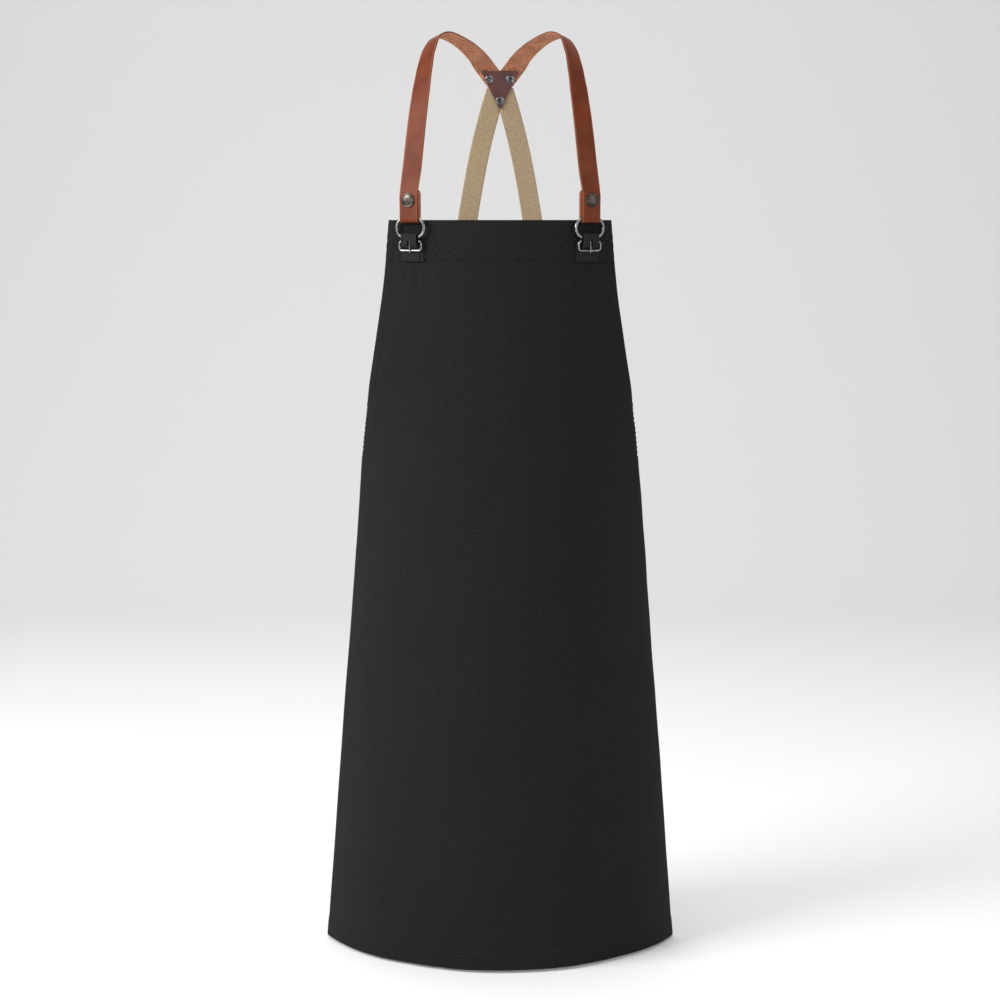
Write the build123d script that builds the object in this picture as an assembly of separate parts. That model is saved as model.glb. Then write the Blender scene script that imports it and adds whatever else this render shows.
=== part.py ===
from build123d import *
import math
import os

# Wrap-round artist's smock apron with leather shoulder straps. Millimetres, +Z up,
# +X to the right as seen from the front, +Y to the wearer's back. The origin is the
# shoulder rest: midway between the two places where the straps lie on the shoulders.
# Each side's hardware is built once, for the side at -X, and mirrored.

# ---- driving dimensions: cloth body ----
body_length = 900.0          # centre front, top edge to hem
bib_width = 263.4            # across the top edge, measured straight
hem_width = 438.0            # across the hem, side turn to side turn
side_line_width = 290.0      # width at the top edge if the skirt's side lines ran on up
bib_angle = 37.0             # half angle of the bib's curve round the chest
hem_angle = 60.4             # half angle of the front curve at the hem
angle_full_at = 558.0        # how far down the front curve reaches the hem's half angle
inset_from = 40.0            # the armhole shaping starts this far below the top edge
inset_to = 290.0             # and has run out this far below it
front_belly = 25.0           # how far the hem hangs forward of the top edge
side_turn_radius = 15.0      # soft crease where the front turns to the back
bib_turn_radius = 2.0        # the same crease produced upwards, past the bib's edge
back_bulge = 25.0            # degrees between the back panel's curve and its chord
back_gap = 100.0             # between the two centre-back edges
back_depth = 195.0           # centre-back edges behind the top edge
armhole_from = 190.0         # the side edge leaves the silhouette this far down
back_top = 285.0             # the back corners lie this far down
armhole_power = 2.2          # how late the side edge runs out to the back corner
canvas = 1.2                 # thickness of the doubled canvas
facing_height = 48.6         # facing band sewn behind the top edge

# ---- driving dimensions: straps and hardware ----
bib_drop = 221.5             # top edge below the shoulder rest
bib_forward = 105.0          # top edge's centre in front of the shoulder rest
hardware_x = 103.0           # centre of each set of hardware
strap_width = 24.0
leather = 2.2
loop_gap = 5.3               # between the two leaves of a strap loop or link loop
ring_height = 25.9           # oval ring, outside
ring_straight = 14.8         # its straight bars, which the strap's fold hangs on
ring_wire = 3.5
ring_bar_height = 2.0        # ring's upper bar, inside the strap's fold, above the top edge
strap_loop_bottom = 3.5      # lowest point of the leather loop below the top edge
leaf_top = 36.0              # the strap's flat lower leaf ends this far above the edge
tail_length = 31.0
tail_hinge_height = 5.0      # the folded tail bends this far above the top edge
snap_height = 23.0
snap_cap_diameter = 16.8
snap_post_diameter = 4.0
webbing = 1.2                # thickness of tabs, patches and link loop
tab_width = 20.8
tab_over_link = 4.5          # anchor tab's upper end above the ring's lower bar
patch_width = 30.0           # base patch
patch_rise = -0.2            # base patch's top edge above the buckle's upper bar
link_width = 19.0
buckle_width = 32.0          # outside
link_length = 4.4            # ring's lower bar to the buckle's upper bar
buckle_bar_spacing = 10.8    # upper bar to lower bar
buckle_wire = 2.8
prong_diameter = 1.6
prong_overhang = 2.2         # prong tip below the lower bar's centre
back_strap_width = 24.6
back_strap_thickness = 2.0
back_anchor_inset = 28.0     # back strap's centre from the centre-back edge
back_overlap = 32.0          # back strap sewn down over the back corner
yoke_width = 47.0            # triangular leather yoke between the shoulder blades
yoke_height = 49.0
yoke_leather = 1.8
yoke_drop = 61.5             # yoke's centre below the shoulder rest
yoke_depth = 88.0            # yoke's centre behind the shoulder rest
yoke_lean = 14.0             # degrees the yoke's top leans forward
rivet_head = 11.0
rivet_bore = 4.4
rivet_shank = 6.4
rivet_spread = 13.0          # upper rivets from the centre line
rivet_rise = 14.0            # upper rivets above the yoke's centre
rivet_fall = 12.5            # lower rivet below it
back_rivet_head = 10.0

# ---- where the straps enter the yoke, at -X, in the yoke's plane ----
shoulder_entry = (-19.5, 29.5)
shoulder_slope = 216.87      # the leather strap's heading there, in degrees from up
back_entry = (-12.6, -26.5)
back_slope = -16.9           # the woven strap's heading there

# ---- the ring, and the heights of the bars, which hang from one another ----
ring_length = ring_straight + ring_height
ring_half = (ring_height - ring_wire) / 2
ring_drop = ring_half - ring_bar_height
ring_low = -ring_drop - ring_half
buckle_bar_drop = link_length - ring_low
tab_top = -ring_low - tab_over_link
patch_top = buckle_bar_drop - patch_rise

# ---- clearances ----
touch = 0.05                 # between sewn or riveted layers
running = 0.3                # between moving neighbours
pin_fit = 0.06               # prong eye on its bar
back_strap_lift = 0.45       # flat strap over the curved back corner

MIRROR = Plane.YZ
parts = {}


def smooth(value):
    """Zero below 0, one above 1, and level at both ends."""
    value = min(max(value, 0.0), 1.0)
    return value * value * (3.0 - 2.0 * value)


class Section:
    """Half of the cloth's horizontal section at a distance below the top edge."""

    def __init__(self, drop):
        self.drop = drop
        inset = (side_line_width - bib_width) / 2
        line = (side_line_width + (hem_width - side_line_width) * drop / body_length) / 2
        half_width = line - inset * (1 - smooth((drop - inset_from) / (inset_to - inset_from)))
        spread = hem_angle - bib_angle
        self.angle = math.radians(bib_angle + spread * smooth(drop / angle_full_at))
        grown = smooth((drop - armhole_from / 2) / armhole_from)
        self.turn_radius = bib_turn_radius + (side_turn_radius - bib_turn_radius) * grown
        sine = math.sin(self.angle)
        self.front_radius = (half_width - self.turn_radius * (1 - sine)) / sine
        share = drop / body_length
        self.front_y = -bib_forward - front_belly * share * share * (3 - 2 * share)
        end_x = self.front_radius * sine
        end_y = self.front_y + self.front_radius * (1 - math.cos(self.angle))
        self.turn_x = end_x - self.turn_radius * sine
        self.turn_y = end_y + self.turn_radius * math.cos(self.angle)
        back_x = back_gap / 2
        back_y = back_depth - bib_forward
        bulge = math.radians(back_bulge)
        self.back_angle = math.radians(125)
        for _ in range(8):
            turn_end_x = self.turn_x + self.turn_radius * math.sin(self.back_angle)
            turn_end_y = self.turn_y - self.turn_radius * math.cos(self.back_angle)
            chord = math.hypot(back_x - turn_end_x, back_y - turn_end_y)
            self.back_angle = math.atan2(back_y - turn_end_y, back_x - turn_end_x) - bulge
        self.back_radius = chord / (2 * math.sin(bulge))
        self.turn_end = (turn_end_x, turn_end_y)
        self.front_length = self.front_radius * self.angle
        self.turn_length = self.turn_radius * (self.back_angle - self.angle)
        self.full_length = self.front_length + self.turn_length + 2 * bulge * self.back_radius

    def edge(self):
        """Arc length from the centre front to the cloth's edge at this height."""
        run = (self.drop - armhole_from) / (back_top - armhole_from)
        share = min(max(run, 0.0), 1.0) ** armhole_power
        return self.front_length + (self.full_length - self.front_length) * share

    def at(self, length, inside=0.0):
        """Point and heading at an arc length, moved inwards through the cloth."""
        if length <= self.front_length:
            heading = length / self.front_radius
            x = self.front_radius * math.sin(heading)
            y = self.front_y + self.front_radius * (1 - math.cos(heading))
        elif length <= self.front_length + self.turn_length:
            heading = self.angle + (length - self.front_length) / self.turn_radius
            x = self.turn_x + self.turn_radius * math.sin(heading)
            y = self.turn_y - self.turn_radius * math.cos(heading)
        else:
            turned = (length - self.front_length - self.turn_length) / self.back_radius
            heading = self.back_angle + turned
            x = self.turn_end[0] + self.back_radius * (math.sin(heading) - math.sin(self.back_angle))
            y = self.turn_end[1] - self.back_radius * (math.cos(heading) - math.cos(self.back_angle))
        return x - inside * math.sin(heading), y + inside * math.cos(heading), heading


def arc_between(section, start, end, inside):
    """The section's arc between two arc lengths; a negative length lies at -X."""
    points = []
    for length in (start, (start + end) / 2, end):
        x, y, _ = section.at(abs(length), inside)
        points.append((math.copysign(x, length) if length else 0.0, y, -bib_drop - section.drop))
    return ThreePointArc(*points)


def sheet_section(section, inside, ends):
    """Closed outline of the cloth's thickness, along arcs that meet at the given lengths."""
    spans = list(zip(ends[:-1], ends[1:]))
    outer = [arc_between(section, start, end, inside) for start, end in spans]
    inner = [arc_between(section, end, start, inside + canvas) for start, end in reversed(spans)]
    first_end = Line(outer[-1] @ 1, inner[0] @ 0)
    last_end = Line(inner[-1] @ 1, outer[0] @ 0)
    return make_face([*outer, first_end, *inner, last_end])


def wrap_section(drop):
    """The whole section, from one centre-back edge round to the other."""
    section = Section(drop)
    turned = section.front_length + section.turn_length
    right = [section.front_length, turned, section.full_length]
    return sheet_section(section, 0.0, [-length for length in reversed(right)] + right)


def facing_section(drop):
    """The facing band's section, behind the cloth."""
    section = Section(drop)
    half = section.front_length - 2.0
    return sheet_section(section, canvas + touch, [-half, half])


def tube(path, diameter):
    """Round wire along a path."""
    start = path @ 0
    profile = Plane(origin=start, z_dir=path % 0) * Circle(diameter / 2)
    return sweep(profile, path=path)


def ribbon(stations, width, thickness):
    """A flat strap through stations of (centre, width direction)."""
    centres = [Vector(*centre) for centre, _ in stations]
    sections = []
    for index, (centre, across) in enumerate(zip(centres, [a for _, a in stations])):
        ahead = centres[min(index + 1, len(centres) - 1)]
        behind = centres[max(index - 1, 0)]
        along = (ahead - behind).normalized()
        across = Vector(*across)
        across = (across - along * across.dot(along)).normalized()
        plane = Plane(origin=centre, x_dir=across, z_dir=along)
        sections.append(plane * Rectangle(width, thickness))
    return loft(sections)


def both_sides(name, shape):
    """Keep the piece for the side at -X and its mirror image at +X."""
    parts[name + "_left"] = shape
    parts[name + "_right"] = shape.mirror(MIRROR)


def band(y_front, z_top, z_bottom, width, thickness):
    """An upright strip whose front face is at y_front, in a hardware frame."""
    block = Box(width, thickness, z_top - z_bottom)
    return Pos(0, y_front + thickness / 2, (z_top + z_bottom) / 2) * block


# ---- cloth body and its facing ----
body_steps = 20
body_drops = [body_length * step / body_steps for step in range(body_steps + 1)]
body_panel = loft([wrap_section(drop) for drop in body_drops], ruled=True)
armhole_edge = []
for drop in (0.0, 0.35 * armhole_from, 0.7 * armhole_from, armhole_from):
    section = Section(drop)
    _, edge_y, _ = section.at(section.front_length)
    armhole_edge.append((0, edge_y, -bib_drop - section.drop))
for share in (0.3, 0.55, 0.8, 1.0):
    section = Section(armhole_from + (back_top - armhole_from) * share)
    _, edge_y, _ = section.at(section.edge())
    armhole_edge.append((0, edge_y, -bib_drop - section.drop))
above = 30.0
edge_curve = Spline(*armhole_edge)
armhole_outline = make_face([
    edge_curve,
    Polyline(
        edge_curve @ 1,
        (0, back_depth, -bib_drop - back_top),
        (0, back_depth, -bib_drop + above),
        (0, armhole_edge[0][1], -bib_drop + above),
        edge_curve @ 0,
    ),
])
body_panel -= extrude(armhole_outline, hem_width, both=True, dir=(1, 0, 0))
top_facing = loft([facing_section(drop) for drop in (1.0, facing_height)], ruled=True)

# ---- frame for one side's hardware: origin on the bib's front at the top edge ----
bib = Section(facing_height)
hardware_heading = math.asin(hardware_x / bib.front_radius)
hardware_y = bib.front_y + bib.front_radius * (1 - math.cos(hardware_heading))
side_frame = Plane(
    origin=(-hardware_x, hardware_y, -bib_drop),
    x_dir=(math.cos(hardware_heading), -math.sin(hardware_heading), 0),
    z_dir=(0, 0, 1),
).location

# ---- layers, from the cloth outwards ----
patch_face = -(touch + webbing)
link_back = patch_face - 0.2
bar_y = link_back - webbing - loop_gap / 2
link_front = bar_y - loop_gap / 2 - webbing
tab_front = link_front - touch - webbing
leaf_inner = bar_y - loop_gap / 2
leaf_mid = leaf_inner - leather / 2
tail_inner = bar_y + loop_gap / 2
tail_mid = tail_inner + leather / 2

# ---- base patch and anchor tab ----
base_patch = band(patch_face, -patch_top, -facing_height, patch_width, webbing)
lower_y = patch_face - 0.15 - webbing / 2
upper_y = tab_front + webbing / 2
link_low = -buckle_bar_drop - loop_gap / 2 - webbing
tab_line = FilletPolyline(
    (0, lower_y, -facing_height),
    (0, lower_y, -buckle_bar_drop - buckle_bar_spacing + 1.2),
    (0, upper_y, link_low - 0.2),
    (0, upper_y, -tab_top),
    radius=1.6,
)
tab_section = Plane(origin=tab_line @ 0, z_dir=tab_line % 0, x_dir=(1, 0, 0))
anchor_tab = sweep(tab_section * Rectangle(tab_width, webbing), path=tab_line)
slot_top = -buckle_bar_drop + 1.0
slot_bottom = -buckle_bar_drop - buckle_bar_spacing + 2.2
slot = Pos(0, upper_y, (slot_top + slot_bottom) / 2) * Box(
    prong_diameter + 1.8, 3 * loop_gap, slot_top - slot_bottom)
anchor_tab -= slot

# ---- link loop round the ring's lower bar and the buckle's upper bar ----
link_arc_top = ring_low - 0.15
link_arc_low = -buckle_bar_drop
link_middle = (link_arc_top + link_arc_low) / 2
link_run = link_arc_top - link_arc_low


def link_profile(gap):
    """Upright slot in the plane across the bars."""
    return Plane.YZ * (Pos(bar_y, link_middle) * Rot(0, 0, 90) * SlotCenterToCenter(link_run, gap))


link_loop = extrude(link_profile(loop_gap + 2 * webbing), link_width / 2, both=True)
link_loop -= extrude(link_profile(loop_gap), link_width, both=True)
link_slot_top = -buckle_bar_drop + 2.4
link_slot_low = link_low - 1
link_loop -= Pos(0, bar_y - loop_gap, (link_slot_top + link_slot_low) / 2) * Box(
    prong_diameter + 1.8, 2 * loop_gap, link_slot_top - link_slot_low)

# ---- oval ring ----
ring_profile = Plane.XZ * SlotOverall(ring_length - ring_wire, ring_height - ring_wire)
ring_path = Pos(0, bar_y, -ring_drop) * ring_profile.face().outer_wire()
oval_ring = tube(ring_path, ring_wire)

# ---- buckle frame and prong ----
buckle_centre = -buckle_bar_drop - buckle_bar_spacing / 2
frame_outline = Plane.XZ * RectangleRounded(
    buckle_width - buckle_wire, buckle_bar_spacing, buckle_wire * 1.2)
buckle_path = Pos(0, bar_y, buckle_centre) * frame_outline.face().outer_wire()
buckle_frame = tube(buckle_path, buckle_wire)
eye_inner = buckle_wire / 2 + pin_fit
shank_y = bar_y - buckle_wire / 2 - touch - prong_diameter / 2
prong_tip = -buckle_bar_drop - buckle_bar_spacing - prong_overhang
eye_ring = Circle(eye_inner + 0.75) - Circle(eye_inner)
eye = Pos(0, bar_y, -buckle_bar_drop) * extrude(Plane.YZ * eye_ring, 1.4, both=True)
shank_length = -buckle_bar_drop - prong_tip
shank = Pos(0, shank_y, (prong_tip - buckle_bar_drop) / 2) * Cylinder(prong_diameter / 2, shank_length)
tip = Pos(0, shank_y, prong_tip) * Sphere(prong_diameter / 2)
bar_space = Pos(0, bar_y, -buckle_bar_drop) * Rot(0, 90, 0) * Cylinder(eye_inner, 20)
buckle_prong = eye + shank + tip - bar_space

# ---- shoulder strap: leather loop, flat leaf, and the run over the shoulder ----
fold_z = -strap_loop_bottom + leather + loop_gap / 2
fold_ring = Circle(loop_gap / 2 + leather) - Circle(loop_gap / 2)
fold_ring = Pos(bar_y, fold_z) * fold_ring
fold_ring &= Pos(bar_y, fold_z - 10) * Rectangle(40, 20)
strap_loop = extrude(Plane.YZ * fold_ring, strap_width / 2, both=True)
leaf_end = tail_hinge_height - leather / 2 - running
strap_loop += band(leaf_inner - leather, leaf_top, fold_z, strap_width, leather)
strap_loop += band(tail_inner, leaf_end, fold_z, strap_width, leather)
strap_loop = side_frame * strap_loop
leaf_centre = (side_frame * Pos(0, leaf_mid, leaf_top)).position
leaf_across = (side_frame * Pos(1, leaf_mid, leaf_top)).position - leaf_centre
lean = math.radians(yoke_lean)


def on_yoke(x, up, out=0.0):
    """A place on the yoke's middle layer, in its own plane."""
    y = yoke_depth - up * math.sin(lean) + out * math.cos(lean)
    z = -yoke_drop + up * math.cos(lean) + out * math.sin(lean)
    return (x, y, z)


def on_yoke_along(right, up):
    """A direction in the yoke's plane."""
    return (right, -up * math.sin(lean), up * math.cos(lean))


shoulder_route = [
    (tuple(leaf_centre), tuple(leaf_across)),
    ((-103.0, -85.5, -161.5), (0.93, -0.37, 0.0)),
    ((-100.0, -82.0, -133.5), (0.92, -0.39, 0.0)),
    ((-97.0, -76.0, -105.5), (0.90, -0.43, 0.0)),
    ((-93.5, -68.0, -77.5), (0.86, -0.50, 0.0)),
    ((-89.5, -55.0, -48.5), (0.76, -0.65, 0.0)),
    ((-85.0, -42.0, -25.5), (0.64, -0.76, 0.05)),
    ((-78.0, -25.0, -8.0), (0.56, -0.78, 0.22)),
    ((-67.0, -7.0, -0.6), (0.55, -0.70, 0.36)),
    ((-53.0, 12.0, -3.8), (0.68, -0.50, 0.42)),
    ((-38.5, 31.0, -12.0), (0.85, -0.28, 0.30)),
    ((-27.0, 51.0, -24.0), (0.95, -0.18, 0.18)),
    (on_yoke(*shoulder_entry), on_yoke_along(0.80, 0.60)),
]
run = ribbon(shoulder_route, strap_width, leather)
# yoke frame: X to the right, Y up along the leather, Z towards the wearer
yoke_frame = Plane(
    origin=on_yoke(0, 0), x_dir=(1, 0, 0), z_dir=(0, -math.cos(lean), -math.sin(lean))).location
seam = 3.0                   # leather and woven straps meet this far above the yoke's centre
far = 400.0


def yoke_block(x_from, x_to, up_from, up_to, depth=60.0):
    """A block in the yoke's frame, used to trim what the yoke holds."""
    centre = Pos((x_from + x_to) / 2, (up_from + up_to) / 2, 0)
    return yoke_frame * centre * Box(x_to - x_from, up_to - up_from, depth)


past_centre = yoke_block(-touch, far, -far, far)
below_seam = yoke_block(-60, 60, -60, seam + touch, 24.0)


def yoke_tongue(x, up, slope, width, thickness):
    """The flat end of a strap inside the yoke, from a place in the yoke's plane."""
    length = 45.0
    tongue = Pos(0, length / 2, 0) * Box(width, length, thickness)
    return yoke_frame * Pos(x, up, 0) * Rot(0, 0, slope) * tongue


run += yoke_tongue(*shoulder_entry, shoulder_slope, strap_width, leather)
run = run - past_centre - below_seam
shoulder_strap = strap_loop + run.solids().sort_by(SortBy.VOLUME)[-1]

# ---- folded tail of the strap, held by the snap ----
tail_end = tail_hinge_height + tail_length
strap_tail = band(tail_inner, tail_end, tail_hinge_height, strap_width, leather)
strap_tail = fillet(strap_tail.edges().filter_by(Axis.Y).group_by(Axis.Z)[-1], 6.0)
strap_tail += Pos(0, tail_mid, tail_hinge_height) * Rot(0, 90, 0) * Cylinder(leather / 2, strap_width)


def across(diameter, y_from, y_to, z=snap_height):
    """A round pin or hole lying across the leather, from front to back."""
    centre = Pos(0, (y_from + y_to) / 2, z)
    return centre * Rot(90, 0, 0) * Cylinder(diameter / 2, abs(y_to - y_from))


# ---- snap fastener: cap and socket on the leaf, stud and post on the tail ----
leaf_face = leaf_inner - leather
tail_face = tail_inner + leather
cap_height = 2.6
socket_height = 3.0
stud_height = 3.6
stud_diameter = 6.4
socket_diameter = 12.4
hole = snap_post_diameter + 2 * touch
dome = Pos(0, leaf_face - touch, snap_height) * Rot(90, 0, 0) * Cylinder(
    snap_cap_diameter / 2, cap_height, align=(Align.CENTER, Align.CENTER, Align.MIN))
dome = fillet(dome.edges().filter_by(GeomType.CIRCLE).group_by(Axis.Y)[0], cap_height * 0.7)
snap_cap = dome + across(snap_post_diameter, leaf_face - 0.5, leaf_inner + 1.0)
snap_socket = across(socket_diameter, leaf_inner + touch, leaf_inner + touch + socket_height)
snap_socket -= across(hole, leaf_inner - 1, leaf_inner + 1.2)
snap_socket -= across(stud_diameter + 2 * running, leaf_inner + 1.2, leaf_inner + 8)
snap_stud = across(socket_diameter - 1.4, tail_inner - touch - 1.0, tail_inner - touch)
snap_stud += across(stud_diameter, tail_inner - stud_height, tail_inner - touch)
snap_stud -= across(hole, tail_inner - 2.2, tail_inner + 1)
snap_post = across(socket_diameter - 2.4, tail_face + touch, tail_face + touch + 1.0)
snap_post += across(snap_post_diameter, tail_inner - 2.0, tail_face + 0.6)
strap_tail = side_frame * (strap_tail - across(hole, tail_inner - 1, tail_face + 1))
shoulder_strap -= side_frame * across(hole, leaf_face - 1, leaf_inner + 1)

# ---- back strap: woven, from the yoke down to the back corner of the cloth ----
corner = Section(back_top)
anchor_at = corner.full_length - back_anchor_inset
anchor_lift = back_strap_lift + back_strap_thickness / 2


def on_back(drop):
    """A station on the outside of the back panel, above the anchor's line."""
    section = Section(drop)
    x, y, heading = section.at(section.full_length - back_anchor_inset, -anchor_lift)
    return (-x, y, -bib_drop - drop), (-math.cos(heading), math.sin(heading), 0.0)


back_route = [
    (on_yoke(*back_entry), on_yoke_along(0.957, 0.29)),
    ((-23.0, 101.5, -126.5), (0.98, -0.02, 0.19)),
    ((-31.5, 102.5, -167.0), (0.98, 0.0, 0.17)),
    ((-39.5, 102.0, -213.0), (0.985, 0.02, 0.16)),
    ((-49.0, 99.5, -275.0), (0.985, 0.06, 0.14)),
    ((-59.0, 95.5, -345.0), (0.98, 0.14, 0.12)),
    ((-68.0, 90.5, -420.0), (0.96, 0.24, 0.09)),
]
for drop in (back_top - 14, back_top + back_overlap / 2, back_top + back_overlap):
    back_route.append(on_back(drop))
back_strap = ribbon(back_route, back_strap_width, back_strap_thickness)
back_strap += yoke_tongue(*back_entry, back_slope, back_strap_width, back_strap_thickness)
above_seam = yoke_block(-60, 60, seam - touch, 60, 24.0)
back_strap = back_strap - past_centre - above_seam
back_strap = back_strap.solids().sort_by(SortBy.VOLUME)[-1]

# ---- yoke: two leather triangles with the strap ends riveted between them ----
half_stack = leather / 2 + touch
yoke_points = [
    (-yoke_width / 2, yoke_height / 2),
    (yoke_width / 2, yoke_height / 2),
    (0, -yoke_height / 2),
]
yoke_outline = make_face(Polyline(*yoke_points, close=True))
yoke_outline = fillet(yoke_outline.vertices(), 1.5)
yoke_inner = Pos(0, 0, half_stack) * extrude(yoke_outline, yoke_leather)
yoke_outer = Pos(0, 0, -half_stack - yoke_leather) * extrude(yoke_outline, yoke_leather)
rivet_places = [(-rivet_spread, rivet_rise), (rivet_spread, rivet_rise), (0, -rivet_fall)]
stack = half_stack + yoke_leather
head_height = 0.9
tubular_rivet = Pos(0, 0, touch / 2) * Cylinder(rivet_shank / 2, 2 * stack + touch)
tubular_rivet += Pos(0, 0, stack + touch + head_height / 2) * Cylinder(rivet_head / 2, head_height)
tubular_rivet -= Cylinder(rivet_bore / 2, 4 * stack)
rivet_cap = Pos(0, 0, -stack - touch - head_height / 2) * Cylinder(rivet_head / 2, head_height)
rivet_hole = Cylinder(rivet_shank / 2 + touch, 6 * stack)
holes = [Pos(x, y, 0) * rivet_hole for x, y in rivet_places]
for cut in holes:
    yoke_inner -= cut
    yoke_outer -= cut
    shoulder_strap -= yoke_frame * cut
    back_strap -= yoke_frame * cut

# ---- rivets that hold the back straps to the cloth's back corners ----
anchor_section = Section(back_top + back_overlap / 2)
anchor_x, anchor_y, anchor_heading = anchor_section.at(
    anchor_section.full_length - back_anchor_inset)
anchor_frame = Plane(
    origin=(-anchor_x, anchor_y, -bib_drop - anchor_section.drop),
    x_dir=(-math.cos(anchor_heading), math.sin(anchor_heading), 0),
    z_dir=(0, 0, 1),
).location
head_gap = 0.4               # clears the cloth's curve under a rivet head
anchor_outer = back_strap_thickness + back_strap_lift + head_gap
anchor_inner = -canvas - head_gap
back_rivet_shank = 3.2
back_head_height = 1.2


def through_back(diameter, y_from, y_to):
    """A round pin through the strap and the cloth at the back corner."""
    return anchor_frame * across(diameter, y_from, y_to, 0)


back_rivet = through_back(back_rivet_shank, anchor_inner - 0.5, anchor_outer + 0.5)
back_rivet += through_back(back_rivet_head, anchor_outer, anchor_outer + back_head_height)
back_rivet += through_back(back_rivet_head - 1.0, anchor_inner - back_head_height, anchor_inner)
back_hole = through_back(back_rivet_shank + 2 * touch, -20, 20)
back_strap -= back_hole
body_panel -= back_hole
body_panel -= back_hole.mirror(MIRROR)

# ---- hand over the pieces ----
parts["body_panel"] = body_panel
parts["top_facing"] = top_facing
both_sides("base_patch", side_frame * base_patch)
both_sides("anchor_tab", side_frame * anchor_tab)
both_sides("link_loop", side_frame * link_loop)
both_sides("oval_ring", side_frame * oval_ring)
both_sides("buckle_frame", side_frame * buckle_frame)
both_sides("buckle_prong", side_frame * buckle_prong)
both_sides("shoulder_strap", shoulder_strap)
both_sides("strap_tail", strap_tail)
both_sides("snap_cap", side_frame * snap_cap)
both_sides("snap_socket", side_frame * snap_socket)
both_sides("snap_stud", side_frame * snap_stud)
both_sides("snap_post", side_frame * snap_post)
both_sides("back_strap", back_strap)
both_sides("back_rivet", back_rivet)
parts["yoke_inner"] = yoke_frame * yoke_inner
parts["yoke_outer"] = yoke_frame * yoke_outer
yoke_places = [yoke_frame * Pos(x, y, 0) for x, y in rivet_places]
parts["tubular_rivets"] = Compound([place * tubular_rivet for place in yoke_places])
parts["rivet_caps"] = Compound([place * rivet_cap for place in yoke_places])

os.makedirs("parts", exist_ok=True)
for node, shape in parts.items():
    export_step(shape, f"parts/{node}.step")
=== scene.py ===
"""Looks for a wrap-round artist's smock apron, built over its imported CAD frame.

Metres, +Z up, +X to the right as seen from the front and +Y to the wearer's back. The origin is
the shoulder rest: midway between the two places where the straps lie on the shoulders.
"""

import logging
import math
from dataclasses import dataclass, field
from enum import Enum
from typing import Callable, Iterable, Sequence

import bmesh
import bpy
from mathutils import Matrix, Vector


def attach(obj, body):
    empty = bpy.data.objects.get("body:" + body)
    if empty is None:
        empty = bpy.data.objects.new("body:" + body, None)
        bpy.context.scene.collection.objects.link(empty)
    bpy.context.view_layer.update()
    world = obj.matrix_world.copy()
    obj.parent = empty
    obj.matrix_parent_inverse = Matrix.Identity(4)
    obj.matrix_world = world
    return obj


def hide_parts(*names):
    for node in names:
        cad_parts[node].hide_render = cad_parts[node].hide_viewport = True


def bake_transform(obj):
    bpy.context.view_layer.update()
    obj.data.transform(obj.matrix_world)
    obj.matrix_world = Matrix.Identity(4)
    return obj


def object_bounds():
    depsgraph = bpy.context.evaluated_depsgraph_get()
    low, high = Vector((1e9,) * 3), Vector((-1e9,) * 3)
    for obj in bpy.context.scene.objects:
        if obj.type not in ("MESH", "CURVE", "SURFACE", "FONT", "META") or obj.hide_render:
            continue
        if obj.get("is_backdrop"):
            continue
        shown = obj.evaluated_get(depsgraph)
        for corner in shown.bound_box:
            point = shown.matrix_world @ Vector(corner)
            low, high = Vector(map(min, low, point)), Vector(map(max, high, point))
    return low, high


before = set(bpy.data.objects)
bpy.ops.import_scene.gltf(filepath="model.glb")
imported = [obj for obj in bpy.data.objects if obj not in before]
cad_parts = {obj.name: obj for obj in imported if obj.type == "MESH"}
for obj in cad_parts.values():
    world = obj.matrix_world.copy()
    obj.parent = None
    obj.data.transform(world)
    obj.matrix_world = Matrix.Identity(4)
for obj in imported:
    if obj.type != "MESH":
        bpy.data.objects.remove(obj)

LOG = logging.getLogger("apron")
MAIN_BODY = "apron"
Colour = tuple[float, float, float]
Place = tuple[float, float, float]
Point = Sequence[float]


class Side(Enum):
    """The two sides of the apron, as seen from the front."""

    LEFT = "left"
    RIGHT = "right"

    @property
    def sign(self) -> float:
        """Sign of X on this side."""
        return -1.0 if self is Side.LEFT else 1.0


# ---------------------------------------------------------------- sizes shared with the CAD part


@dataclass(frozen=True)
class ClothSizes:
    """Driving dimensions of the cloth body."""

    body_length: float = 0.900
    bib_width: float = 0.2634
    hem_width: float = 0.438
    side_line_width: float = 0.290
    bib_angle: float = 37.0
    hem_angle: float = 60.4
    angle_full_at: float = 0.558
    inset_from: float = 0.040
    inset_to: float = 0.290
    front_belly: float = 0.025
    side_turn_radius: float = 0.015
    bib_turn_radius: float = 0.002
    back_bulge: float = 25.0
    back_gap: float = 0.100
    back_depth: float = 0.195
    armhole_from: float = 0.190
    back_top: float = 0.285
    armhole_power: float = 2.2
    canvas: float = 0.0012
    facing_height: float = 0.0486
    bib_drop: float = 0.2215
    bib_forward: float = 0.105
    hem_fold: float = 0.024
    edge_fold: float = 0.009


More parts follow.
